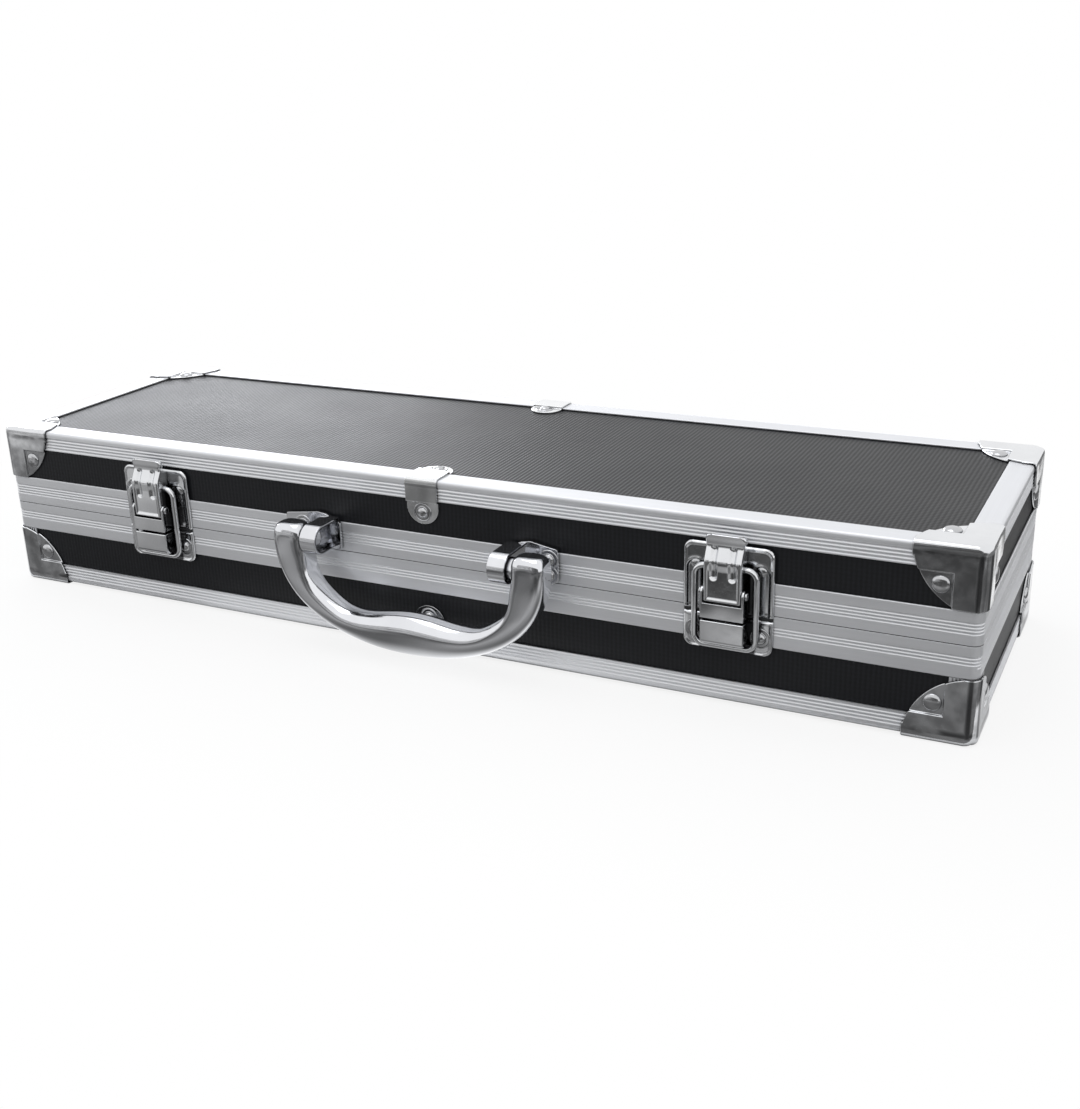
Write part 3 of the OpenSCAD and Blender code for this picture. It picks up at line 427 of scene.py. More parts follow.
@finish
def clip_steel(sheet):
    """The clips' plating, with painted shade under the outer bend, over the trim and behind the
    grip.
    """
    _, y, z = sheet.axes()
    deep, tall = inwards(y, ENDS[1]), inwards(z, ENDS[2])
    # Painted shade: a dark band under the outer bend, a lighter darkening over the trim, and the
    # base's front clip darkened behind the handle's grip.
    under_bend = tall.rise(1.9, 2.3) * tall.fall(2.9, 3.6) * 0.5
    strap = tall.rise(1.9, 2.5) * tall.fall(9.0, 9.8) * 0.3
    shade_behind_grip = z.fall(30.0, 32.0) * y.fall(0.0, 1.0) * 0.5
    shade_and_dulling = under_bend.most(strap).most(shade_behind_grip) * deep.fall(1.0, 1.6)
    return plating(sheet, finishes().clip, (0.09, 0.2), 1.4, shade_and_dulling)


@finish
def rivet_plating(sheet):
    return plating(sheet, finishes().rivet, (0.1, 0.24), 0.6)


@finish
def handle_plating(sheet):
    return plating(sheet, finishes().handle, (0.07, 0.17), 0.4)


@finish
def bracket_plating(sheet):
    """The brackets' plating, with painted shade inside the curled eye."""
    _, y, z = sheet.axes()
    ahead, up = (PIVOT["handle_pivot"].y - y).most(0.0), z - PIVOT["handle_pivot"].z
    # Painted shade inside the curled eye.
    shade_and_dulling = (ahead * ahead + up * up).root().fall(5.5, 6.0) * (y - FRONT).fall(-1.9, -1.7) * 0.92
    return plating(sheet, finishes().handle, (0.07, 0.17), 0.4, shade_and_dulling)


@finish
def cut_foam(sheet):
    """Closed-cell foam: small cells and a dull surface."""
    tone = finishes().foam
    cells = sheet.make("ShaderNodeTexVoronoi", None, (), Vector=sheet.point(), Scale=1500.0)
    cloud = sheet.noise(60.0, 3.0) * 0.4
    shade = sheet.blend(cells * 0.6 + cloud, rgba(tone, 0.6), rgba(tone, 1.7))
    relief = sheet.bump(cells + cloud, 0.6, 0.3 * MM)
    return sheet.surface(Base_Color=shade, Roughness=0.95, Normal=relief)


# ---- mesh helpers


def shown(name, data):
    """An object in the scene that holds the mesh, camera or lamp."""
    obj = bpy.data.objects.new(name, data)
    bpy.context.scene.collection.objects.link(obj)
    return obj


def shell(name, bm, material, sharp):
    """An object from a bmesh, smooth but for edges sharper than the angle given in degrees."""
    mesh = bpy.data.meshes.new(name)
    bm.to_mesh(mesh)
    bm.free()
    mesh.shade_smooth()
    mesh.set_sharp_from_angle(angle=math.radians(sharp))
    mesh.materials.clear()
    mesh.materials.append(material)
    return shown(name, mesh)


def settle(obj):
    """The mesh that the modifiers give takes their place."""
    graph = bpy.context.evaluated_depsgraph_get()
    graph.update()
    mesh = bpy.data.meshes.new_from_object(
        obj.evaluated_get(graph), preserve_all_data_layers=True, depsgraph=graph
    )
    obj.modifiers.clear()
    old, obj.data = obj.data, mesh
    bpy.data.meshes.remove(old)
    mesh.name = obj.name
    return obj


def even_normals(obj):
    """Flat faces stay flat next to their rounded edges."""
    weights = obj.modifiers.new("weights", "WEIGHTED_NORMAL")
    weights.keep_sharp = True
    weights.weight = 50
    return settle(obj)


def keep(obj, body, node):
    """Puts a finished piece on its body, in place of the solids it stands for."""
    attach(obj, body)
    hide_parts(node)


def paint(node, material):
    frame["nodes"][node].data.materials[0] = material


def along_axis(axis, size=1.0):
    way = Vector((0, 0, 0))
    way[axis] = size
    return way


def add_grid(bm, rows, closed=False):
    """Quads through rows of points of one length, each row a ring where closed."""
    lines = [[bm.verts.new(p) for p in row] for row in rows]
    n = len(lines[0])
    for a, b in zip(lines, lines[1:]):
        for k in range(n if closed else n - 1):
            bm.faces.new([a[k], a[(k + 1) % n], b[(k + 1) % n], b[k]])
    return lines


def add_tube(bm, rings):
    """Quads through rings of points, with a face over either end."""
    lines = add_grid(bm, rings, True)
    for line in (lines[0], lines[-1]):
        bm.faces.new(line)


def outwards(bm):
    bmesh.ops.remove_doubles(bm, verts=bm.verts, dist=1e-7)
    bmesh.ops.recalc_face_normals(bm, faces=bm.faces)
    return bm


def rounded(bm, width, segments=3, angle=30.0):
    """Rounds the edges that are sharper than the angle given in degrees."""
    limit = math.radians(angle)
    edges = [e for e in bm.edges if len(e.link_faces) == 2 and e.calc_face_angle(0.0) > limit]
    bmesh.ops.bevel(
        bm, geom=edges, offset=width, offset_type="OFFSET", segments=segments, profile=0.5,
        affect="EDGES", clamp_overlap=False,
    )
    return bm


def cad_mesh(node):
    """A CAD node's mesh with its doubled corners merged."""
    bm = bmesh.new()
    bm.from_mesh(frame["nodes"][node].data)
    bmesh.ops.remove_doubles(bm, verts=bm.verts, dist=4e-6)
    return bm


def solid_copy(node):
    """A CAD node's mesh with its triangles joined into the faces they were cut from."""
    bm = cad_mesh(node)
    bmesh.ops.dissolve_degenerate(bm, edges=bm.edges, dist=2e-6)
    flat = math.radians(0.6)
    bmesh.ops.dissolve_limit(bm, angle_limit=flat, verts=bm.verts[:], edges=bm.edges[:])
    return bm


def prism(bm, outline, at, lo, hi):
    """A closed slab: outline points go through at(a, b, c) with c from lo to hi."""
    low = [bm.verts.new(at(a, b, lo)) for a, b in outline]
    high = [bm.verts.new(at(a, b, hi)) for a, b in outline]
    n = len(outline)
    faces = [bm.faces.new(low[::-1]), bm.faces.new(high)]
    for i in range(n):
        faces.append(bm.faces.new([low[i], low[(i + 1) % n], high[(i + 1) % n], high[i]]))
    bmesh.ops.recalc_face_normals(bm, faces=faces)


def oval(x, y, wide, tall, start, end, count):
    """Points on an oval round (x, y), from one angle to another in degrees."""
    turns = [math.radians(start + (end - start) * i / (count - 1)) for i in range(count)]
    return [(x + wide * math.cos(a), y + tall * math.sin(a)) for a in turns]


def circle(r, count):
    return oval(0.0, 0.0, r, r, 0, 360, count + 1)[:-1]


def rectangle(a, b, c, d):
    """The corners in order, from (a, b) to the opposite one at (c, d) and back."""
    return [(a, b), (c, b), (c, d), (a, d)]


def islands(bm):
    """Lists of vertices that hang together."""
    left, found = set(bm.verts), []
    while left:
        stack, group = [left.pop()], []
        while stack:
            v = stack.pop()
            group.append(v)
            for e in v.link_edges:
                w = e.other_vert(v)
                if w in left:
                    left.remove(w)
                    stack.append(w)
        found.append(group)
    return found


def crisp(place):
    """Moves a point near a long edge of the case outwards, so that the bend there is tighter."""
    reach = BEND * MM
    past = Vector([c - min(max(c, lo + reach), hi - reach) for c, (lo, hi) in zip(place, ENDS)])
    level, rise = math.hypot(past.x, past.y), abs(past.z)
    if level * rise == 0.0:
        return place
    lean = min(abs(past.x), abs(past.y)) / max(abs(past.x), abs(past.y))
    power = 6.0 - 2.5 * lean
    squarer = (level**power + rise**power) ** (1 / power)
    return place + past * (math.hypot(level, rise) / squarer - 1)


def crisp_edges(bm):
    """Cuts the bends of a pressed piece finer and tightens them."""
    for axis, (lo, hi) in enumerate(ENDS):
        way = along_axis(axis)
        for part in (0.12, 0.28, 0.42, 0.55, 0.67, 0.78, 0.87):
            reach = BEND * MM * (1 - 1.25 * part)
            for level in (lo + reach, hi - reach):
                geom = [*bm.verts, *bm.edges, *bm.faces]
                bmesh.ops.bisect_plane(bm, geom=geom, dist=1e-6, plane_co=way * level, plane_no=way)
    for v in bm.verts:
        v.co = crisp(v.co)


def step(value, low, high):
    t = min(1.0, max(0.0, (value - low) / (high - low)))
    return t * t * (3 - 2 * t)


def rounding(inset, r):
    """How far an edge rounded by r falls away at that distance in from it."""
    return r - math.sqrt(max(0.0, r * r - max(0.0, r - inset) ** 2))


# ---- geometry nodes helpers


def geometry_tree(name, *inputs):
    """A geometry node group with its input and output nodes; its last input is the finish."""
    tree = bpy.data.node_groups.new(name, "GeometryNodeTree")
    for label, kind in (("Geometry", "Geometry"), *inputs, ("Finish", "Material")):
        tree.interface.new_socket(label, in_out="INPUT", socket_type="NodeSocket" + kind)
    tree.interface.new_socket("Geometry", in_out="OUTPUT", socket_type="NodeSocketGeometry")
    return tree, tree.nodes.new("NodeGroupInput"), tree.nodes.new("NodeGroupOutput")


def link(tree, *ends):
    """Links sockets, each pair given as node, output, node, input."""
    for source, out, target, into in ends:
        tree.links.new(source.outputs[out], target.inputs[into])


def close_tree(tree, start, end, last):
    """Makes the last node's instances real and gives them their finish."""
    real = tree.nodes.new("GeometryNodeRealizeInstances")
    painted = tree.nodes.new("GeometryNodeSetMaterial")
    link(
        tree,
        (last, "Geometry", real, "Geometry"),
        (real, "Geometry", painted, "Geometry"),
        (start, "Finish", painted, "Material"),
        (painted, "Geometry", end, "Geometry"),
    )
    return tree


def grow(obj, tree, values):
    """Runs the tree on the object with its named inputs set, and keeps the mesh that results."""
    modifier = obj.modifiers.new(tree.name, "NODES")
    modifier.node_group = tree
    for item in tree.interface.items_tree:
        if item.in_out == "INPUT" and item.name in values:
            modifier[item.identifier] = values[item.name]
    return settle(obj)


# ---- strips and boards

# Depth of the solids' grooves, pitch of the ribs that take their place, and points on each rib
GROOVE, RIB_PITCH, RIB_POINTS = 0.3, 1.42, 8
# Depth of the ribs and the height that they are carried on to, in millimetres
RIBS = {
    ("lid", "trim"): (0.34, 73.9), ("base", "trim"): (0.34, 4.1),
    ("lid", "rim"): (0.27, 45.0), ("base", "rim"): (0.27, 34.0),
}
# Rounding of a strip's corners, and of those beside the parting, in millimetres
CORNER, PARTING_CORNER = 0.38, 0.1
# How far from a wall's middle its strips are cut across to read their outline, in metres
CUT_LONG, CUT_SHORT = 0.09, 0.02


def section(node, place, axis):
    """The outline of a strip cut across at one place, in order round it."""
    bm = cad_mesh(node)
    bmesh.ops.bisect_plane(
        bm, geom=[*bm.verts, *bm.edges, *bm.faces], plane_co=place, plane_no=along_axis(axis),
        clear_inner=True, clear_outer=True,
    )
    left = set(bm.edges)
    loop = list(left.pop().verts)
    while onward := [e for e in loop[-1].link_edges if e in left]:
        left.discard(onward[0])
        loop.append(onward[0].other_vert(loop[-1]))
    points = [v.co.copy() for v in loop[:-1]]
    bm.free()
    return points


def straightened(points):
    """Leaves out the points that lie on a straight line between their neighbours."""
    kept = []
    for i, p in enumerate(points):
        a, b = points[i - 1], points[(i + 1) % len(points)]
        if abs((p[0] - a[0]) * (b[1] - p[1]) - (p[1] - a[1]) * (b[0] - p[0])) > 2e-3:
            kept.append(p)
    return kept


def bent(points):
    """A trim's outline with its outer bend cut finer and tightened."""
    lo, hi = TRIM_FOOT / MM + BEND, TRIM_TOP / MM - BEND
    out = []
    for a, b in zip(points, points[1:] + points[:1]):
        out.append(a)
        centre = Vector((BEND, hi if a[1] > hi else lo))
        if max(a[0], b[0]) <= BEND and (min(a[1], b[1]) >= hi or max(a[1], b[1]) <= lo):
            u, v = Vector(a) - centre, Vector(b) - centre
            for t in (0.2, 0.4, 0.6, 0.8):
                spoke = u.lerp(v, t).normalized() * (u.length + (v.length - u.length) * t)
                out.append(tuple(centre + spoke))
    tight = [crisp(Vector((0, FRONT + d * MM, h * MM))) for d, h in out]
    return [((p.y - FRONT) / MM, p.z / MM) for p in tight]


def ribbed(points, deep, over):
    """Swaps the square grooves of a strip's outline for soft ribs, carried on to over, in mm."""
    start = max(range(len(points)), key=lambda i: points[i][0])
    points = points[start:] + points[:start]
    floor = [h for d, h in points if abs(d - GROOVE) < 0.02] + [over]
    low, high = min(floor) - 0.35, max(floor) + 0.35
    face = GROOVE + 0.05
    inside = [i for i, (d, h) in enumerate(points) if d < face and low - 0.01 <= h <= high + 0.01]
    a, b = (low, high) if points[inside[0]][1] < points[inside[-1]][1] else (high, low)
    count = round((high - low) / RIB_PITCH) * RIB_POINTS
    waves = [
        (deep * (0.5 - 0.5 * math.cos(math.tau * k / RIB_POINTS)), a + (b - a) * k / count)
        for k in range(count + 1)
    ]
    return points[: inside[0]] + waves + points[inside[-1] + 1 :]


def eased(points, radius, steps=4):
    """Rounds the outward corners of an outline, each by the radius that the function gives."""
    area = sum(p[0] * q[1] - q[0] * p[1] for p, q in zip(points, points[1:] + points[:1]))
    out = []
    for i, p in enumerate(points):
        p = Vector(p)
        a, b = Vector(points[i - 1]) - p, Vector(points[(i + 1) % len(points)]) - p
        turn = (a.x * b.y - a.y * b.x) * (-1 if area > 0 else 1)
        angle = a.angle(b)
        if min(a.length, b.length) < 0.7 or angle > math.radians(130) or turn < 0:
            out.append(tuple(p))
            continue
        a.normalize()
        b.normalize()
        r = radius(p)
        cut = r / math.tan(angle / 2)
        centre = p + (a + b).normalized() * r / math.sin(angle / 2)
        for k in range(steps + 1):
            spoke = (p + a * cut - centre).lerp(p + b * cut - centre, k / steps).normalized() * r
            out.append(tuple(centre + spoke))
    return out


def strip_outline(node, middle, into, cut, axis):
    """A strip's outline as depth into the wall and height, in mm, with its ribs and bends."""
    cross = section(node, cut, axis)
    points = straightened([((p - middle).dot(into) / MM, p.z / MM) for p in cross])
    half, _, part = node.split("_")
    if part == "trim":
        points = bent(points)
    points = ribbed(points, *RIBS[half, part])
    return eased(points, lambda p: PARTING_CORNER if abs(p.y - PARTING / MM) < 0.3 else CORNER)


def run_strip(node, wall, material):
    """Sweeps a strip's outline along its wall, round to the mitres at both corners."""
    along = Vector((*WALLS[wall], 0))
    into = Vector((-along.y, along.x, 0))
    half, depth = (EDGE_X, HALF_DEPTH) if along.x else (HALF_DEPTH, EDGE_X)
    middle = Vector((0, MIDDLE_Y, 0)) - into * depth
    cut, axis = (middle + along * CUT_LONG, 0) if along.x else (middle + along * CUT_SHORT, 1)
    outline = strip_outline(node, middle, into, cut, axis)
    reach = half / MM
    rows = []
    for s, turns in ((-1, (45, 30, 15, 0)), (1, (0, 15, 30, 45))):
        for turn in turns:
            a = math.radians(turn)
            row = []
            for d, h in outline:
                go, inset = reach - d, d
                if d < BEND:
                    go = reach - BEND + (BEND - d) * math.sin(a)
                    inset = BEND - (BEND - d) * math.cos(a)
                row.append(middle + (along * s * go + into * inset + Vector((0, 0, h))) * MM)
            rows.append(row)
    bm = bmesh.new()
    add_tube(bm, rows)
    return even_normals(shell(node + "_rolled", outwards(bm), material, 34.0))


class TOOLCASE_OT_strips(bpy.types.Operator):
    """Rolls the ribbed aluminium strips along the edges and the parting line"""

    bl_idname = "tool_case.strips"
    bl_label = "Aluminium strips"

    def execute(self, context):
        for half in HALVES:
            for wall, (along_x, _) in WALLS.items():
                for part in ("trim", "rim"):
                    node = f"{half}_{wall}_{part}"
                    strip = run_strip(node, wall, satin_aluminium("x" if along_x else "y"))
                    keep(strip, half, node)
            paint(f"{half}_corner_posts", satin_aluminium("z"))
        return {"FINISHED"}


class TOOLCASE_OT_boards(bpy.types.Operator):
    """Gives the panels their black embossed facing"""

    bl_idname = "tool_case.boards"
    bl_label = "Faced boards"

    def execute(self, context):
        for node in ("lid_top_panel", "base_bottom_panel"):
            paint(node, faced_board("xy"))
        for half in HALVES:
            for wall, (along_x, _) in WALLS.items():
                paint(f"{half}_{wall}_panel", faced_board("xz" if along_x else "yz"))
        return {"FINISHED"}


# ---- caps, clips and hinges


def soften(node, body, width, material, ending="pressed", tighten=False):
    """Shows a copy of a solid with its edges rounded as the press or the lathe leaves them."""
    bm = rounded(solid_copy(node), width)
    if tighten:
        crisp_edges(bm)
    keep(even_normals(shell(f"{node}_{ending}", bm, material, 50.0)), body, node)


class TOOLCASE_OT_caps(bpy.types.Operator):
    """Builds the eight corner caps"""

    bl_idname = "tool_case.caps"
    bl_label = "Corner caps"

    def execute(self, context):
        for half in HALVES:
            for corner in ("front_left", "front_right", "back_left", "back_right"):
                soften(f"{half}_cap_{corner}", half, sizes().edge * 1.5, cap_steel(), tighten=True)
        return {"FINISHED"}


class TOOLCASE_OT_clips(bpy.types.Operator):
    """Builds the edge clips"""

    bl_idname = "tool_case.clips"
    bl_label = "Edge clips"

    def execute(self, context):
        for half in HALVES:
            soften(f"{half}_clips", half, sizes().edge * 0.8, clip_steel(), tighten=True)
        return {"FINISHED"}


class TOOLCASE_OT_hinges(bpy.types.Operator):
    """Builds the hinge leaves and their pins"""

    bl_idname = "tool_case.hinges"
    bl_label = "Hinges"

    def execute(self, context):
        for side in SIDES:
            for half in HALVES:
                soften(f"{half}_hinge_leaf_{side}", half, sizes().edge * 0.6, pressed_steel())
        soften("hinge_pins", "base", sizes().edge * 0.5, rivet_plating(), "turned")
        return {"FINISHED"}


# ---- rivets


def rivet_places(node):
    """Where each rivet of a CAD node stands: the foot of its head, its axis, radius and height."""
    bm = cad_mesh(node)
    middle = (0.0, MIDDLE_Y, PARTING)
    found = []
    for group in islands(bm):
        points = np.array([v.co for v in group])
        lo, hi = points.min(0), points.max(0)
        size, centre = hi - lo, (hi + lo) / 2
        axis = int(np.argmin([abs(size[i - 2] - size[i - 1]) for i in range(3)]))
        way = along_axis(axis, math.copysign(1.0, centre[axis] - middle[axis]))
        radius = size[axis - 2] / 2
        off = np.hypot(*[points[:, i] - centre[i] for i in range(3) if i != axis])
        top = hi[axis] if way[axis] > 0 else -lo[axis]
        foot = (points[off > radius * 0.97][:, axis] * way[axis]).min()
        place = Vector(centre)
        place[axis] = way[axis] * foot
        found.append((place, way, radius, top - foot))
    bm.free()
    return sorted(found, key=lambda f: tuple(round(c, 5) for c in f[0]))


# Heads turned from (radius, height) points, for a radius and a height of 1
CROWN = oval(0.0, 0.04, 1.0, 0.96, 2, 88, 14)
HEADS = {
    "Dome": [(1.0, -0.3), *CROWN],
    "Button": [(1.0, -0.3), *oval(0.86, 0.45, 0.14, 0.5, 0, 85, 6), (0.5, 0.99), (0.05, 1.0)],
    "Collar": [
        (1.5, -0.1), *oval(1.36, 0.02, 0.14, 0.22, 0, 170, 8), (0.95, 0.03),
        *((0.82 * r, 0.06 + 0.94 * h) for r, h in CROWN),
    ],
}


def turned_head(label, material):
    bm = bmesh.new()
    add_tube(bm, [[(x, y, z) for x, y in circle(r, 40)] for r, z in HEADS[label]])
    return shell("unit_" + label, outwards(bm), material, 60.0)


def rivet_tree():
    """Heads of three kinds on points that carry an axis, a size and a flag for each kind."""
    tree, start, end = geometry_tree("rivets", *((label, "Object") for label in HEADS))

    def carried(name, kind):
        node = tree.nodes.new("GeometryNodeInputNamedAttribute")
        node.data_type = kind
        node.inputs["Name"].default_value = name
        return node

    turn = tree.nodes.new("FunctionNodeAlignRotationToVector")
    turn.axis = "Z"
    size = carried("size", "FLOAT_VECTOR")
    together = tree.nodes.new("GeometryNodeJoinGeometry")
    link(tree, (carried("axis", "FLOAT_VECTOR"), "Attribute", turn, "Vector"))
    for label in HEADS:
        info = tree.nodes.new("GeometryNodeObjectInfo")
        place = tree.nodes.new("GeometryNodeInstanceOnPoints")
        link(
            tree,
            (start, label, info, "Object"),
            (start, "Geometry", place, "Points"),
            (carried(label, "BOOLEAN"), "Attribute", place, "Selection"),
            (info, "Geometry", place, "Instance"),
            (turn, "Rotation", place, "Rotation"),
            (size, "Attribute", place, "Scale"),
            (place, "Instances", together, "Geometry"),
        )
    return close_tree(tree, start, end, together)


def head_kind(radius, height):
    """Buttons are low, collars narrow, and the caps' rivets are domes."""
    return "Button" if height < 1.1 * MM else "Collar" if radius < 3.1 * MM else "Dome"


class TOOLCASE_OT_rivets(bpy.types.Operator):
    """Sets a headed rivet on each place that the solids give"""

    bl_idname = "tool_case.rivets"
    bl_label = "Rivets"

    def execute(self, context):
        units = {label: turned_head(label, rivet_plating()) for label in HEADS}
        tree = rivet_tree()
        for half in HALVES:
            places = rivet_places(f"{half}_rivets")
            mesh = bpy.data.meshes.new(f"{half}_rivets_headed")
            mesh.from_pydata([place for place, *_ in places], [], [])
            columns = {
                "axis": [c for _, way, _, _ in places for c in way],
                "size": [c for *_, r, h in places for c in (r, r, h)],
            }
            for key, values in columns.items():
                mesh.attributes.new(key, "FLOAT_VECTOR", "POINT").data.foreach_set("vector", values)
            kinds = [head_kind(r, h) for *_, r, h in places]
            for label in HEADS:
                flags = [kind == label for kind in kinds]
                mesh.attributes.new(label, "BOOLEAN", "POINT").data.foreach_set("value", flags)
            obj = grow(shown(mesh.name, mesh), tree, {**units, "Finish": rivet_plating()})
            keep(obj, half, f"{half}_rivets")
        for unit in units.values():
            bpy.data.objects.remove(unit)
        return {"FINISHED"}


# ---- latches

# Sizes of a latch in millimetres, heights counted from its parting
PLATE_HALF, PLATE_CORNER, PLATE_SQUARE, PLATE_SHEET = 18.0, 4.0, 0.6, 0.8
PLATE_FOOT, PLATE_TOP, KEEPER_FOOT, KEEPER_TOP = 0.5, 28.3, -15.6, -0.7
EAR_IN, EAR_OUT = 7.65, 8.55
# Side of the squares that a plate's pressed relief is built from
CELL = 0.4


def latch_point(side):
    """Maps millimetres across, up from the latch's parting and out from the rim's face."""

    def at(x, w, v):
        return (LATCH_X[side] + x * MM, FRONT - v * MM, LATCH_Z + w * MM)

    return at


def sideways(at):
    """The same map for outlines seen from the side, as out, up and across."""
    return lambda v, w, x: at(x, w, v)


def embossed_plate(at, low, high, round_top, relief):
    """A sheet raised by relief(x, w, distance in), with round corners away from the parting."""
    bm = bmesh.new()
    half, mid, tall = PLATE_HALF, (low + high) / 2, (high - low) / 2
    nx, nw = round(2 * half / CELL), round(2 * tall / CELL)
    front, back, edges = {}, {}, {}
    for i in range(nx + 1):
        for j in range(nw + 1):
            x, w = -half + 2 * half * i / nx, low + (high - low) * j / nw
            r = PLATE_CORNER if (w > mid) == round_top else PLATE_SQUARE
            dx, dy = abs(x) - (half - r), abs(w - mid) - (tall - r)
            inside = r - math.hypot(max(dx, 0), max(dy, 0)) - min(max(dx, dy), 0)
            if inside < -0.9 * CELL:
                continue
            if inside < 0.35 * CELL and dx > 0 and dy > 0:
                scale = r / math.hypot(dx, dy)
                x = math.copysign(half - r + dx * scale, x)
                w = mid + math.copysign(tall - r + dy * scale, w - mid)
                inside = 0.0
            front[i, j] = bm.verts.new(at(x, w, PLATE_SHEET + relief(x, w, max(inside, 0.0))))
            back[i, j] = bm.verts.new(at(x, w, 0.0))
    for i in range(nx):
        for j in range(nw):
            known = [k for k in ((i, j), (i + 1, j), (i + 1, j + 1), (i, j + 1)) if k in front]
            if len(known) >= 3:
                edges.update(dict.fromkeys(zip(known, known[1:] + known[:1])))
                bm.faces.new([front[k] for k in known])
                bm.faces.new([back[k] for k in known[::-1]])
    for a, b in edges:
        if (b, a) not in edges:
            bm.faces.new([front[b], front[a], back[a], back[b]])
    for v in (*front.values(), *back.values()):
        if not v.link_faces:
            bm.verts.remove(v)
    return outwards(bm)


def edge_bead(inside):
    """A rounded outer edge and a bead just inside it."""
    return sizes().bead / MM * math.exp(-(((inside - 0.85) / 0.5) ** 2)) - rounding(inside, 0.45)


def keep_plate(node, side, body, bm, fitting):
    """Joins a plate and its fitting, and puts them on their body."""
    mesh = bpy.data.meshes.new("joined")
    fitting.to_mesh(mesh)
    fitting.free()
    bm.from_mesh(mesh)
    bpy.data.meshes.remove(mesh)
    obj = even_normals(shell(f"{node}_{side}_pressed", bm, latch_steel(side), 45.0))
    keep(obj, body, f"{node}_{side}")


class TOOLCASE_OT_latch_plates(bpy.types.Operator):
    """Builds the upper latch plates with their brackets"""

    bl_idname = "tool_case.latch_plates"
    bl_label = "Latch plates"

    def execute(self, context):
        dish = sizes().dish / MM

        def relief(x, w, inside):
            channel = math.hypot(abs(x) - 12.7, w - min(max(w, -5.0), 17.2))
            pressed = 1 - step(channel, 3.1, 3.9)
            lip = math.exp(-(((channel - 4.1) / 0.45) ** 2)) * 0.22
            return edge_bead(inside) * (1 - 0.75 * pressed * (w < 3)) - dish * pressed + lip

        eye = oval(6.2, 10.4, 2.3, 2.3, 0, 180, 17)
        ear = [(0.3, 0.4), (8.5, 0.4), *eye, (3.9, 9.0), (0.3, 8.0)]
        web = [(-8.5, 0.4), (8.5, 0.4), (8.5, 6.4), (-8.5, 6.4)]
        for side in SIDES:
            at = latch_point(side)
            plate = embossed_plate(at, PLATE_FOOT, PLATE_TOP, True, relief)
            bracket = bmesh.new()
            for s in (-1, 1):
                prism(bracket, ear, sideways(at), *sorted((s * EAR_IN, s * EAR_OUT)))
            prism(bracket, web, at, 7.6, 8.52)
            keep_plate("latch_plate", side, "lid", plate, rounded(bracket, 0.22 * MM, 2))
        return {"FINISHED"}


class TOOLCASE_OT_keepers(bpy.types.Operator):
    """Builds the keeper plates with their hook blocks"""

    bl_idname = "tool_case.keepers"
    bl_label = "Keeper plates"

    def execute(self, context):
        dish = sizes().dish / MM * 1.1

        def relief(x, w, inside):
            oval_in = math.hypot((abs(x) - 13.2) / 3.0, (w + 8.1) / 4.3)
            return edge_bead(inside) - dish * (1 - step(oval_in, 0.62, 1.0))

        nose = oval(6.5, -8.6, 2.0, 2.0, 0, -90, 9)
        block = [(0.3, KEEPER_TOP), (8.5, KEEPER_TOP), *nose, (0.3, -10.6)]
        for side in SIDES:
            at = latch_point(side)
            plate = embossed_plate(at, KEEPER_FOOT, KEEPER_TOP, False, relief)
            hook = bmesh.new()
            prism(hook, block, sideways(at), -EAR_OUT, EAR_OUT)
            keep_plate("keeper_plate", side, "base", plate, rounded(hook, 0.5 * MM))
        return {"FINISHED"}


# Lever profile: distance out from the rim's face and height, from the foot to the lip
LEVER_LINE = (
    (8.5, 7.5), (8.5, 22.6), (8.1, 24.2), (6.6, 27.0),
    (5.7, 28.4), (5.7, 29.4), (6.3, 31.2), (6.7, 33.5),
)
LEVER_HALF, LEVER_EDGE, LEVER_SHEET, LIP_CORNER, LIP_MORE = 7.5, 1.0, 0.9, 2.0, 1.2
# How many steps the lever is built from along, across and down each side
LEVER_ALONG, LEVER_ACROSS, LEVER_SIDE = 110, 90, 6


def smooth_line(points, count):
    """A corner-cut line through the points, at even distances."""
    line = [Vector(p) for p in points]
    for _ in range(3):
        cut = [line[0]]
        for a, b in zip(line, line[1:]):
            cut += [a.lerp(b, 0.25), a.lerp(b, 0.75)]
        line = cut + [line[-1]]
    steps = [0.0]
    for a, b in zip(line, line[1:]):
        steps.append(steps[-1] + (b - a).length)
    even = np.linspace(0, steps[-1], count)
    columns = [np.interp(even, steps, column) for column in zip(*line)]
    return [Vector(p) for p in zip(*columns)]


def lever_relief(x, w):
    """Two dents under the lever's bend, and a sunk panel below them."""
    dent = math.hypot(abs(x) - 3.7, max(0.0, 17.4 - w) + max(0.0, w - 27.3))
    inner = min((6.3 - abs(x)) / 0.7, (w - 7.7) / 1.5)
    sunk = 0.5 * step(inner, 0.0, 1.0) * (1 - step(w, 19.0, 23.0))
    return step(dent, 0.35, 1.95) - 1.0 - sunk


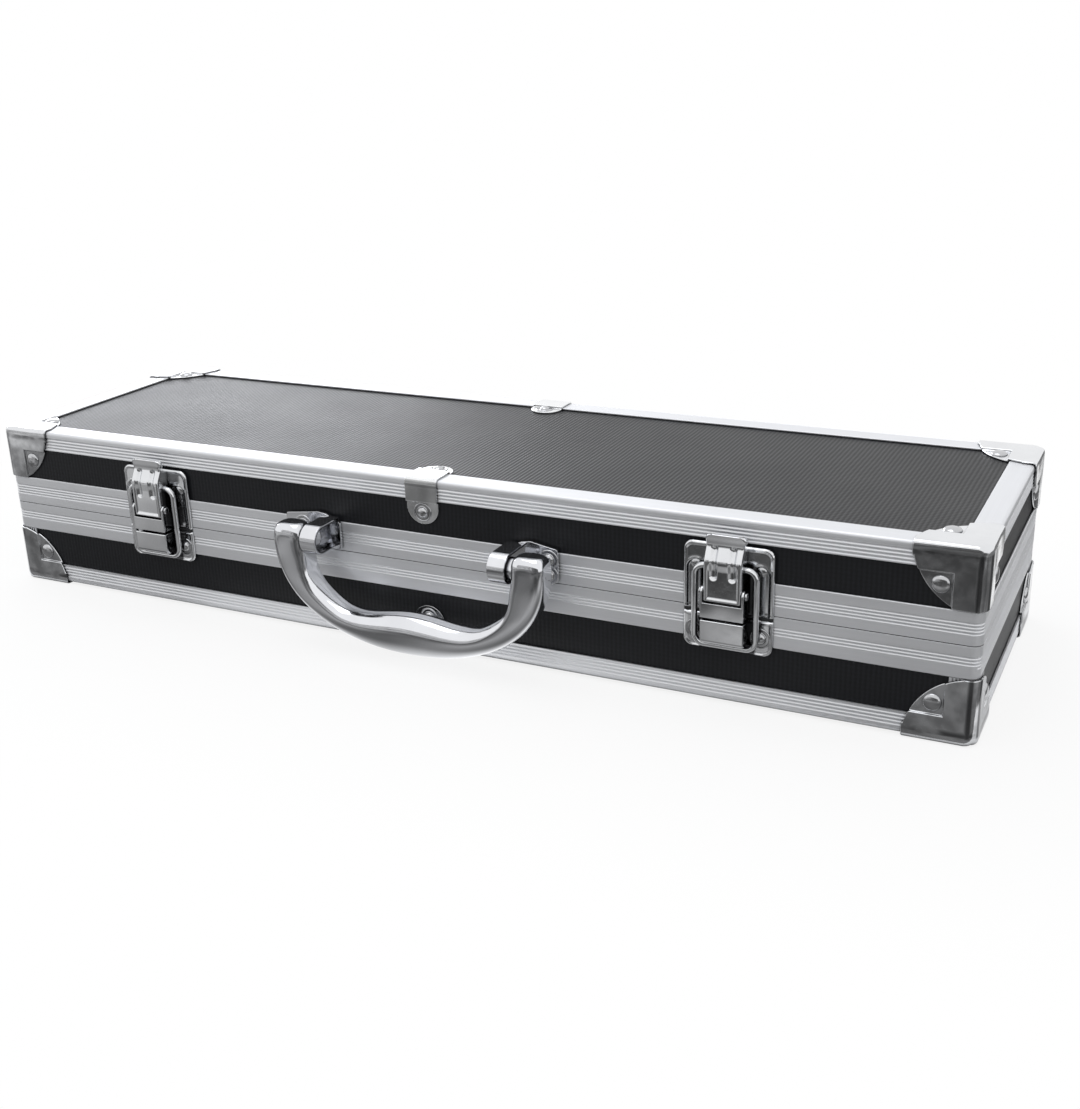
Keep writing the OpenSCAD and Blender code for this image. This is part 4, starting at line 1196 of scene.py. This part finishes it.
def lever_row(line, i, at):
    """Points across the lever at one place on its line, with its sides folded back."""
    p = line[i]
    ahead = line[min(i + 1, len(line) - 1)] - line[max(i - 1, 0)]
    normal = Vector((ahead.y, -ahead.x)).normalized()
    lip = step(p.y, 29.5, 31.5)
    left = LEVER_HALF - rounding(line[-1].y - p.y, LIP_CORNER)
    right = left + LIP_MORE * lip
    row = []
    for k in range(LEVER_ACROSS + 1):
        x = -LEVER_HALF + 2 * LEVER_HALF * k / LEVER_ACROSS
        fall = rounding(LEVER_HALF - abs(x), LEVER_EDGE)
        out = normal * (lever_relief(x, p.y) * (1 - lip) - fall)
        row.append(at(x / LEVER_HALF * (left if x < 0 else right), p.y + out.y, p.x + out.x))
    side = 5.6 * (1 - step(p.y, 26.0, 29.0)) + 1.1
    backs = [p.x - LEVER_EDGE - side * k / LEVER_SIDE for k in range(1, LEVER_SIDE + 1)]
    return [at(-left, p.y, v) for v in backs[::-1]] + row + [at(right, p.y, v) for v in backs]


class TOOLCASE_OT_levers(bpy.types.Operator):
    """Builds the latch levers with their dents, sunk panel and finger lip"""

    bl_idname = "tool_case.levers"
    bl_label = "Latch levers"

    def execute(self, context):
        line = smooth_line(LEVER_LINE, LEVER_ALONG)
        for side in SIDES:
            bm = bmesh.new()
            add_grid(bm, [lever_row(line, i, latch_point(side)) for i in range(len(line))])
            obj = shell(f"latch_lever_{side}_pressed", outwards(bm), latch_steel(side), 60.0)
            sheet = obj.modifiers.new("sheet", "SOLIDIFY")
            sheet.thickness, sheet.offset = LEVER_SHEET * MM, -1.0
            keep(even_normals(settle(obj)), f"lever_{side}", f"latch_lever_{side}")
        return {"FINISHED"}


def bail_tree():
    """Round wire bent along a closed line with rounded corners."""
    tree, start, end = geometry_tree("bail", ("Wire", "Float"), ("Bend", "Float"))
    line = tree.nodes.new("GeometryNodeMeshToCurve")
    bend = tree.nodes.new("GeometryNodeFilletCurve")
    bend.mode = "POLY"
    bend.inputs["Count"].default_value = 14
    ring = tree.nodes.new("GeometryNodeCurvePrimitiveCircle")
    ring.inputs["Resolution"].default_value = 24
    tube = tree.nodes.new("GeometryNodeCurveToMesh")
    smooth = tree.nodes.new("GeometryNodeSetShadeSmooth")
    link(
        tree,
        (start, "Geometry", line, "Mesh"),
        (line, "Curve", bend, "Curve"),
        (start, "Bend", bend, "Radius"),
        (start, "Wire", ring, "Radius"),
        (bend, "Curve", tube, "Curve"),
        (ring, "Curve", tube, "Profile Curve"),
        (tube, "Mesh", smooth, "Geometry"),
    )
    return close_tree(tree, start, end, smooth)


class TOOLCASE_OT_bails(bpy.types.Operator):
    """Bends the wire bails"""

    bl_idname = "tool_case.bails"
    bl_label = "Bails"

    def execute(self, context):
        tree = bail_tree()
        wire = sizes().wire
        for side in SIDES:
            lo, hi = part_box(f"latch_bail_{side}")
            outline = rectangle(lo.x + wire, lo.z + wire, hi.x - wire, hi.z - wire)
            corners = [(x, (lo.y + hi.y) / 2, z) for x, z in outline]
            mesh = bpy.data.meshes.new(f"latch_bail_{side}_bent")
            mesh.from_pydata(corners, [(0, 1), (1, 2), (2, 3), (3, 0)], [])
            settings = {"Wire": wire, "Bend": 4.0 * MM, "Finish": pressed_steel()}
            obj = grow(shown(mesh.name, mesh), tree, settings)
            keep(obj, f"bail_{side}", f"latch_bail_{side}")
        return {"FINISHED"}


class TOOLCASE_OT_latch_pins(bpy.types.Operator):
    """Builds the lever pins with their rounded heads"""

    bl_idname = "tool_case.latch_pins"
    bl_label = "Latch pins"

    def execute(self, context):
        soften("latch_pins", "lid", 0.35 * MM, rivet_plating(), "turned")
        return {"FINISHED"}


# ---- handle

# Outline of the handle in millimetres: half its width, how far it hangs, and how square it is
HANDLE_HALF, HANDLE_DROP, OUTLINE_POWER, HANDLE_SHIFT = 64.0, 45.0, 2.15, 0.75
ARM_WIDTH, CORNER_WIDTH, GRIP_WIDTH = 15.0, 11.0, 18.0
ARM_DEPTH, GRIP_DEPTH, ARM_TOP = 12.4, 15.0, 6.6
ARM_POWER, RING_POINTS, OUTLINE_STEPS = 3.6, 56, 150
# Pins from their inner ends outwards: distance from the handle's middle and radius
PIN = ((44.4, 3.9), (44.5, 4.5), (45.0, 4.95), (57.0, 4.95))


def squared(c, power):
    return math.copysign(abs(c) ** (2 / power), c)


def handle_point(x, y, z):
    """Maps millimetres from the middle of the handle's pivot."""
    pivot = PIVOT["handle_pivot"]
    return (HANDLE_X + x * MM, pivot.y + y * MM, pivot.z + z * MM)


def handle_outline(a):
    """Outer line of the handle: a superellipse hung from the pivots, a in degrees."""
    c, s = math.cos(math.radians(a)), max(math.sin(math.radians(a)), 0.0)
    across, down = squared(c, OUTLINE_POWER), squared(s, OUTLINE_POWER)
    return Vector((HANDLE_HALF * across, -HANDLE_DROP * down))


def handle_ring(centre, across, wide, deep, power):
    """A rounded section round a centre in the handle's plane."""
    ring = []
    for k in range(RING_POINTS):
        t = math.tau * k / RING_POINTS
        u, v = squared(math.cos(t), power) * wide / 2, squared(math.sin(t), power) * deep / 2
        x, z = centre.x + across.x * u + HANDLE_SHIFT, centre.y + across.y * u
        ring.append(handle_point(x, v, z))
    return ring


def arm_ring(s, turn):
    """A ring of the dome over an arm's pivot, s for its side, turn in degrees up to its top."""
    a = math.radians(turn)
    shrink = 0.25 + 0.75 * max(0.0, math.cos(a)) ** 0.5
    centre = Vector((s * (HANDLE_HALF - ARM_WIDTH / 2), ARM_TOP * math.sin(a) ** 0.8))
    power = ARM_POWER - turn / 90
    return handle_ring(centre, Vector((s, 0)), ARM_WIDTH * shrink, ARM_DEPTH * shrink, power)


def grip_ring(a):
    """A ring of an arm or the grip, a degrees along the outline."""
    t = 1 - abs(a - 90) / 90
    tangent = handle_outline(min(180, a + 0.6)) - handle_outline(max(0, a - 0.6))
    normal = Vector((-tangent.y, tangent.x)).normalized()
    if a < 1 or a > 179:
        normal = Vector((math.copysign(1, 90 - a), 0))
    width = ARM_WIDTH + (CORNER_WIDTH - ARM_WIDTH) * step(t, 0.1, 0.45)
    width += (GRIP_WIDTH - CORNER_WIDTH) * step(t, 0.6, 1.0)
    depth = ARM_DEPTH + (GRIP_DEPTH - ARM_DEPTH) * step(t, 0.4, 1.0)
    power = ARM_POWER - 1.3 * step(t, 0.2, 0.75)
    return handle_ring(handle_outline(a) - normal * width / 2, normal, width, depth, power)


class TOOLCASE_OT_handle(bpy.types.Operator):
    """Builds the carrying handle: squared arms and a full grip"""

    bl_idname = "tool_case.handle"
    bl_label = "Handle"

    def execute(self, context):
        rings = [arm_ring(1, turn) for turn in range(90, 0, -10)]
        rings += [grip_ring(180 * i / OUTLINE_STEPS) for i in range(OUTLINE_STEPS + 1)]
        rings += [arm_ring(-1, turn) for turn in range(10, 100, 10)]
        bm = bmesh.new()
        add_tube(bm, rings)
        for s in (-1, 1):
            add_tube(bm, [[handle_point(s * x, u, v) for u, v in circle(r, 32)] for x, r in PIN])
        obj = shell("handle_cast", outwards(bm), handle_plating(), 60.0)
        keep(obj, "handle", "handle")
        return {"FINISHED"}


# Brackets in millimetres: sheet, foot from its inner end and the eye's width, both from the
# handle's middle, and the outer ends of the two feet
BRACKET_SHEET, FOOT_IN, EYE_IN, EYE_OUT = 1.6, 40.2, 40.6, 48.2
FOOT_OUT = {"left": 67.6, "right": 63.0}


class TOOLCASE_OT_handle_brackets(bpy.types.Operator):
    """Builds the handle brackets: a riveted foot and a curled eye for the pin"""

    bl_idname = "tool_case.handle_brackets"
    bl_label = "Handle brackets"

    def execute(self, context):
        pivot = PIVOT["handle_pivot"]
        v0, w0 = (FRONT - pivot.y) / MM, (pivot.z - PARTING) / MM
        outer, inner = oval(v0, w0, 6.4, 6.4, 100, -104, 31), oval(v0, w0, 5.1, 5.1, -104, 100, 31)
        loop = [
            (0.6, 15.6), (5.0, 15.9), *outer, (5.0, 2.4), (0.6, 2.0),
            (0.6, 3.2), (5.0, 3.7), *inner, (5.0, 14.7), (0.6, 14.4),
        ]
        for side, end in FOOT_OUT.items():
            s = -1 if side == "left" else 1

            def at(x, w, v):
                return (HANDLE_X + s * x * MM, FRONT - v * MM, PARTING + w * MM)

            foot = [(FOOT_IN, 0.9), (end, 0.9), (end, 14.8)]
            foot += [(51.0, 17.0), (47.0, 16.4), (FOOT_IN, 13.2)]
            bm = bmesh.new()
            prism(bm, eased(foot, lambda p: 1.2, 6), at, 0.0, BRACKET_SHEET)
            prism(bm, loop, sideways(at), EYE_IN, EYE_OUT)
            rounded(bm, 0.2 * MM, 3, 40.0)
            obj = even_normals(shell(f"handle_bracket_{side}_folded", bm, bracket_plating(), 50.0))
            keep(obj, "lid", f"handle_bracket_{side}")
        return {"FINISHED"}


# ---- foam

# Squares along and across the lid's pad, its waves along, and the rounding of its lower edge in mm
PAD_LONG, PAD_WIDE, PAD_WAVES, PAD_EDGE = 240, 72, 18, 3.0


class TOOLCASE_OT_foam(bpy.types.Operator):
    """Cuts the foam insert and the lid's waved pad"""

    bl_idname = "tool_case.foam"
    bl_label = "Foam"

    def execute(self, context):
        bm = rounded(solid_copy("base_foam_insert"), 0.9 * MM, 3, 50.0)
        insert = even_normals(shell("foam_insert_cut", bm, cut_foam(), 60.0))
        keep(insert, "base", "base_foam_insert")

        lo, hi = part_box("lid_foam_pad")
        turn = math.tau * PAD_WAVES / (hi.x - lo.x)

        def under(x, y):
            inset = min(x - lo.x, hi.x - x, y - lo.y, hi.y - y)
            swell = math.cos((x - lo.x) * turn) * math.cos((y - lo.y) * turn)
            return lo.z + sizes().pad_wave * (0.5 - 0.5 * swell) + rounding(inset, PAD_EDGE * MM)

        xs = [lo.x + (hi.x - lo.x) * i / PAD_LONG for i in range(PAD_LONG + 1)]
        ys = [lo.y + (hi.y - lo.y) * j / PAD_WIDE for j in range(PAD_WIDE + 1)]
        low = [[(x, y, under(x, y)) for y in ys] for x in xs]
        high = [[(x, y, hi.z) for y in ys] for x in xs]
        bm = bmesh.new()
        for rows in (low, high, (low[0], high[0]), (low[-1], high[-1])):
            add_grid(bm, rows)
        for j in (0, -1):
            add_grid(bm, [[row[j] for row in low], [row[j] for row in high]])
        pad = shell("foam_pad_waved", outwards(bm), cut_foam(), 60.0)
        keep(pad, "lid", "lid_foam_pad")
        return {"FINISHED"}


# ---- stage

# The cards lie just above the floor, and come up to just in front of the case
CARD_UP, CARD_SIDE, CARD_FAR, CARD_CLOSE = 0.001, 1.4, -1.7, FRONT - 0.002
FLOOR = 30.0
WHITE = (1.0, 1.0, 1.0, 1.0)


def stage_plane(name, corners, material, card=True):
    """A plane of the studio; a card is seen by mirroring rays alone."""
    mesh = bpy.data.meshes.new(name)
    mesh.from_pydata(corners, [], [(0, 1, 2, 3)])
    mesh.materials.append(material)
    obj = shown(name, mesh)
    if card:
        for ray in ("camera", "diffuse", "shadow", "transmission"):
            setattr(obj, "visible_" + ray, False)
    obj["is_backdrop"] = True


def level_plane(name, place, height, *look):
    """A level plane of the studio between two opposite corners."""
    stage_plane(name, [(x, y, height) for x, y in rectangle(*place)], *look)


def rays(sheet):
    """1 or 0 for what the camera sees straight, in metal and through glass."""
    path = sheet.make("ShaderNodeLightPath").socket.node
    kinds = ("Camera", "Glossy", "Transmission")
    return [Wire(sheet, path.outputs[f"Is {kind} Ray"]) for kind in kinds]


@finish
def pale_floor(sheet):
    """White to the camera but for the shadow near the case, and a pale floor to the light."""
    x, y, _ = sheet.axes()
    beside = (abs(x) - EDGE_X).most(0.0)
    before = (abs(y - MIDDLE_Y) - HALF_DEPTH).most(0.0)
    away = (beside * beside + before * before).root()
    seen, mirrored, through = rays(sheet)
    plain = seen * away.ramp(0.0, 0.16, 0.84, 1.0)
    plain = plain.most(mirrored.most(through) * away.ramp(0.0, 0.03))
    lit = sheet.make("ShaderNodeBsdfDiffuse", None, ((0.9, 0.9, 0.9, 1),))
    white = sheet.make("ShaderNodeEmission", None, (WHITE, 1.0))
    return sheet.end(sheet.make("ShaderNodeMixShader", None, (plain, lit, white)))


@finish
def side_card(sheet):
    return sheet.end(sheet.make("ShaderNodeEmission", None, (WHITE, 0.2)))


@finish
def grey_card(sheet):
    """What the front mirrors: a dark room, brighter low in front and far to the left."""
    x, y, _ = sheet.axes()
    ahead = FRONT - y
    under = ahead.fall(8.0, 34.0) * 0.66 * x.ramp(-0.19, -0.14) * x.ramp(0.0, 0.17, 1.0, 0.1)
    near = (ahead.ramp(0.035, 0.075, 0.17, 0.34) + under) * ahead.fall(90.0, 125.0)
    beyond = x.ramp(-0.45, 0.12, 0.46, 0.1) * ahead.rise(90.0, 125.0)
    mist = sheet.noise(9.0).ramp(0.3, 0.7, 0.4, 1.6)
    tone = (near + beyond) * mist * bpy.context.scene.case_studio.card_tone
    return sheet.end(sheet.make("ShaderNodeEmission", None, (tone, 1.0)))


def area_light(name, place, target, size, watts):
    data = bpy.data.lights.new(name, "AREA")
    data.shape, data.energy, data.color = "RECTANGLE", watts, (0.93, 0.95, 1.0)
    data.size, data.size_y = size
    obj = shown(name, data)
    obj.location = place
    obj.rotation_euler = (Vector(target) - Vector(place)).to_track_quat("-Z", "Y").to_euler()


class TOOLCASE_OT_stage(bpy.types.Operator):
    """Sets up the camera, the floor, the grey cards and the light"""

    bl_idname = "tool_case.stage"
    bl_label = "Studio"

    def execute(self, context):
        scene = context.scene
        studio = scene.case_studio
        data = bpy.data.cameras.new("case_camera")
        data.lens, data.sensor_width, data.clip_start = studio.lens, 36.0, 0.01
        scene.camera = shown("case_camera", data)
        tilt, turn, roll = studio.camera_turn
        facing = Matrix.Rotation(turn, 4, "Z") @ Matrix.Rotation(tilt, 4, "X")
        facing = facing @ Matrix.Rotation(roll, 4, "Z")
        scene.camera.matrix_world = Matrix.Translation(Vector(studio.camera_place)) @ facing
        scene.view_settings.view_transform = "Standard"

        scene.world = bpy.data.worlds.new("studio_air")
        air = Sheet(scene.world)
        seen, mirrored, through = rays(air)
        strength = seen.most(mirrored).most(through) * (1.0 - studio.sky) + studio.sky
        air.end(air.make("ShaderNodeBackground", None, (WHITE, strength)), "ShaderNodeOutputWorld")

        level_plane("floor", (-FLOOR, -FLOOR, FLOOR, FLOOR), 0.0, pale_floor(), False)
        level_plane("low_card", (-CARD_SIDE, CARD_FAR, CARD_SIDE, CARD_CLOSE), CARD_UP, grey_card())
        upright = rectangle(-CARD_SIDE, 0.0, CARD_SIDE, 0.5)
        stage_plane("far_card", [(x, CARD_FAR, z) for x, z in upright], grey_card())
        level_plane("side_card", (EDGE_X + 0.03, CARD_CLOSE, 1.2, 1.6), CARD_UP, side_card())
        area_light("back_left_box", (-1.7, 1.2, 0.7), (0.0, 0.0, 0.05), (1.8, 0.8), 19.0)
        area_light("top_box", (-0.2, -0.1, 1.7), (0.0, 0.0, 0.0), (1.4, 1.0), 6.0)
        return {"FINISHED"}


# ---- panel and registration

ORDER = (
    TOOLCASE_OT_strips, TOOLCASE_OT_boards, TOOLCASE_OT_caps, TOOLCASE_OT_clips, TOOLCASE_OT_hinges,
    TOOLCASE_OT_rivets, TOOLCASE_OT_latch_plates, TOOLCASE_OT_keepers, TOOLCASE_OT_levers,
    TOOLCASE_OT_bails, TOOLCASE_OT_latch_pins, TOOLCASE_OT_handle, TOOLCASE_OT_handle_brackets,
    TOOLCASE_OT_foam, TOOLCASE_OT_stage,
)
GROUPS = (("case_finishes", CaseFinishes), ("case_sizes", CaseSizes), ("case_studio", CaseStudio))


class TOOLCASE_PT_panel(bpy.types.Panel):
    """Lists the pieces, sizes and finishes"""

    bl_label = "Tool Case"
    bl_idname = "TOOLCASE_PT_panel"
    bl_space_type = "VIEW_3D"
    bl_region_type = "UI"
    bl_category = "Tool Case"

    def draw(self, context):
        for kind in ORDER:
            self.layout.operator(kind.bl_idname)
        for key, group in GROUPS:
            box = self.layout.box()
            for name in group.__annotations__:
                box.prop(getattr(context.scene, key), name)


def register():
    for key, group in GROUPS:
        bpy.utils.register_class(group)
        setattr(bpy.types.Scene, key, bpy.props.PointerProperty(type=group))
    for kind in (*ORDER, TOOLCASE_PT_panel):
        bpy.utils.register_class(kind)


def unregister():
    for kind in (TOOLCASE_PT_panel, *reversed(ORDER)):
        bpy.utils.unregister_class(kind)
    for key, group in reversed(GROUPS):
        delattr(bpy.types.Scene, key)
        bpy.utils.unregister_class(group)


def main():
    register()
    for kind in ORDER:
        group, name = kind.bl_idname.split(".")
        getattr(getattr(bpy.ops, group), name)()
    boxes = {"cad": CAD_BOX, "visual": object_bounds()}
    {key: [list(corner) for corner in box] for key, box in boxes.items()}


if __name__ == "__main__":
    main()
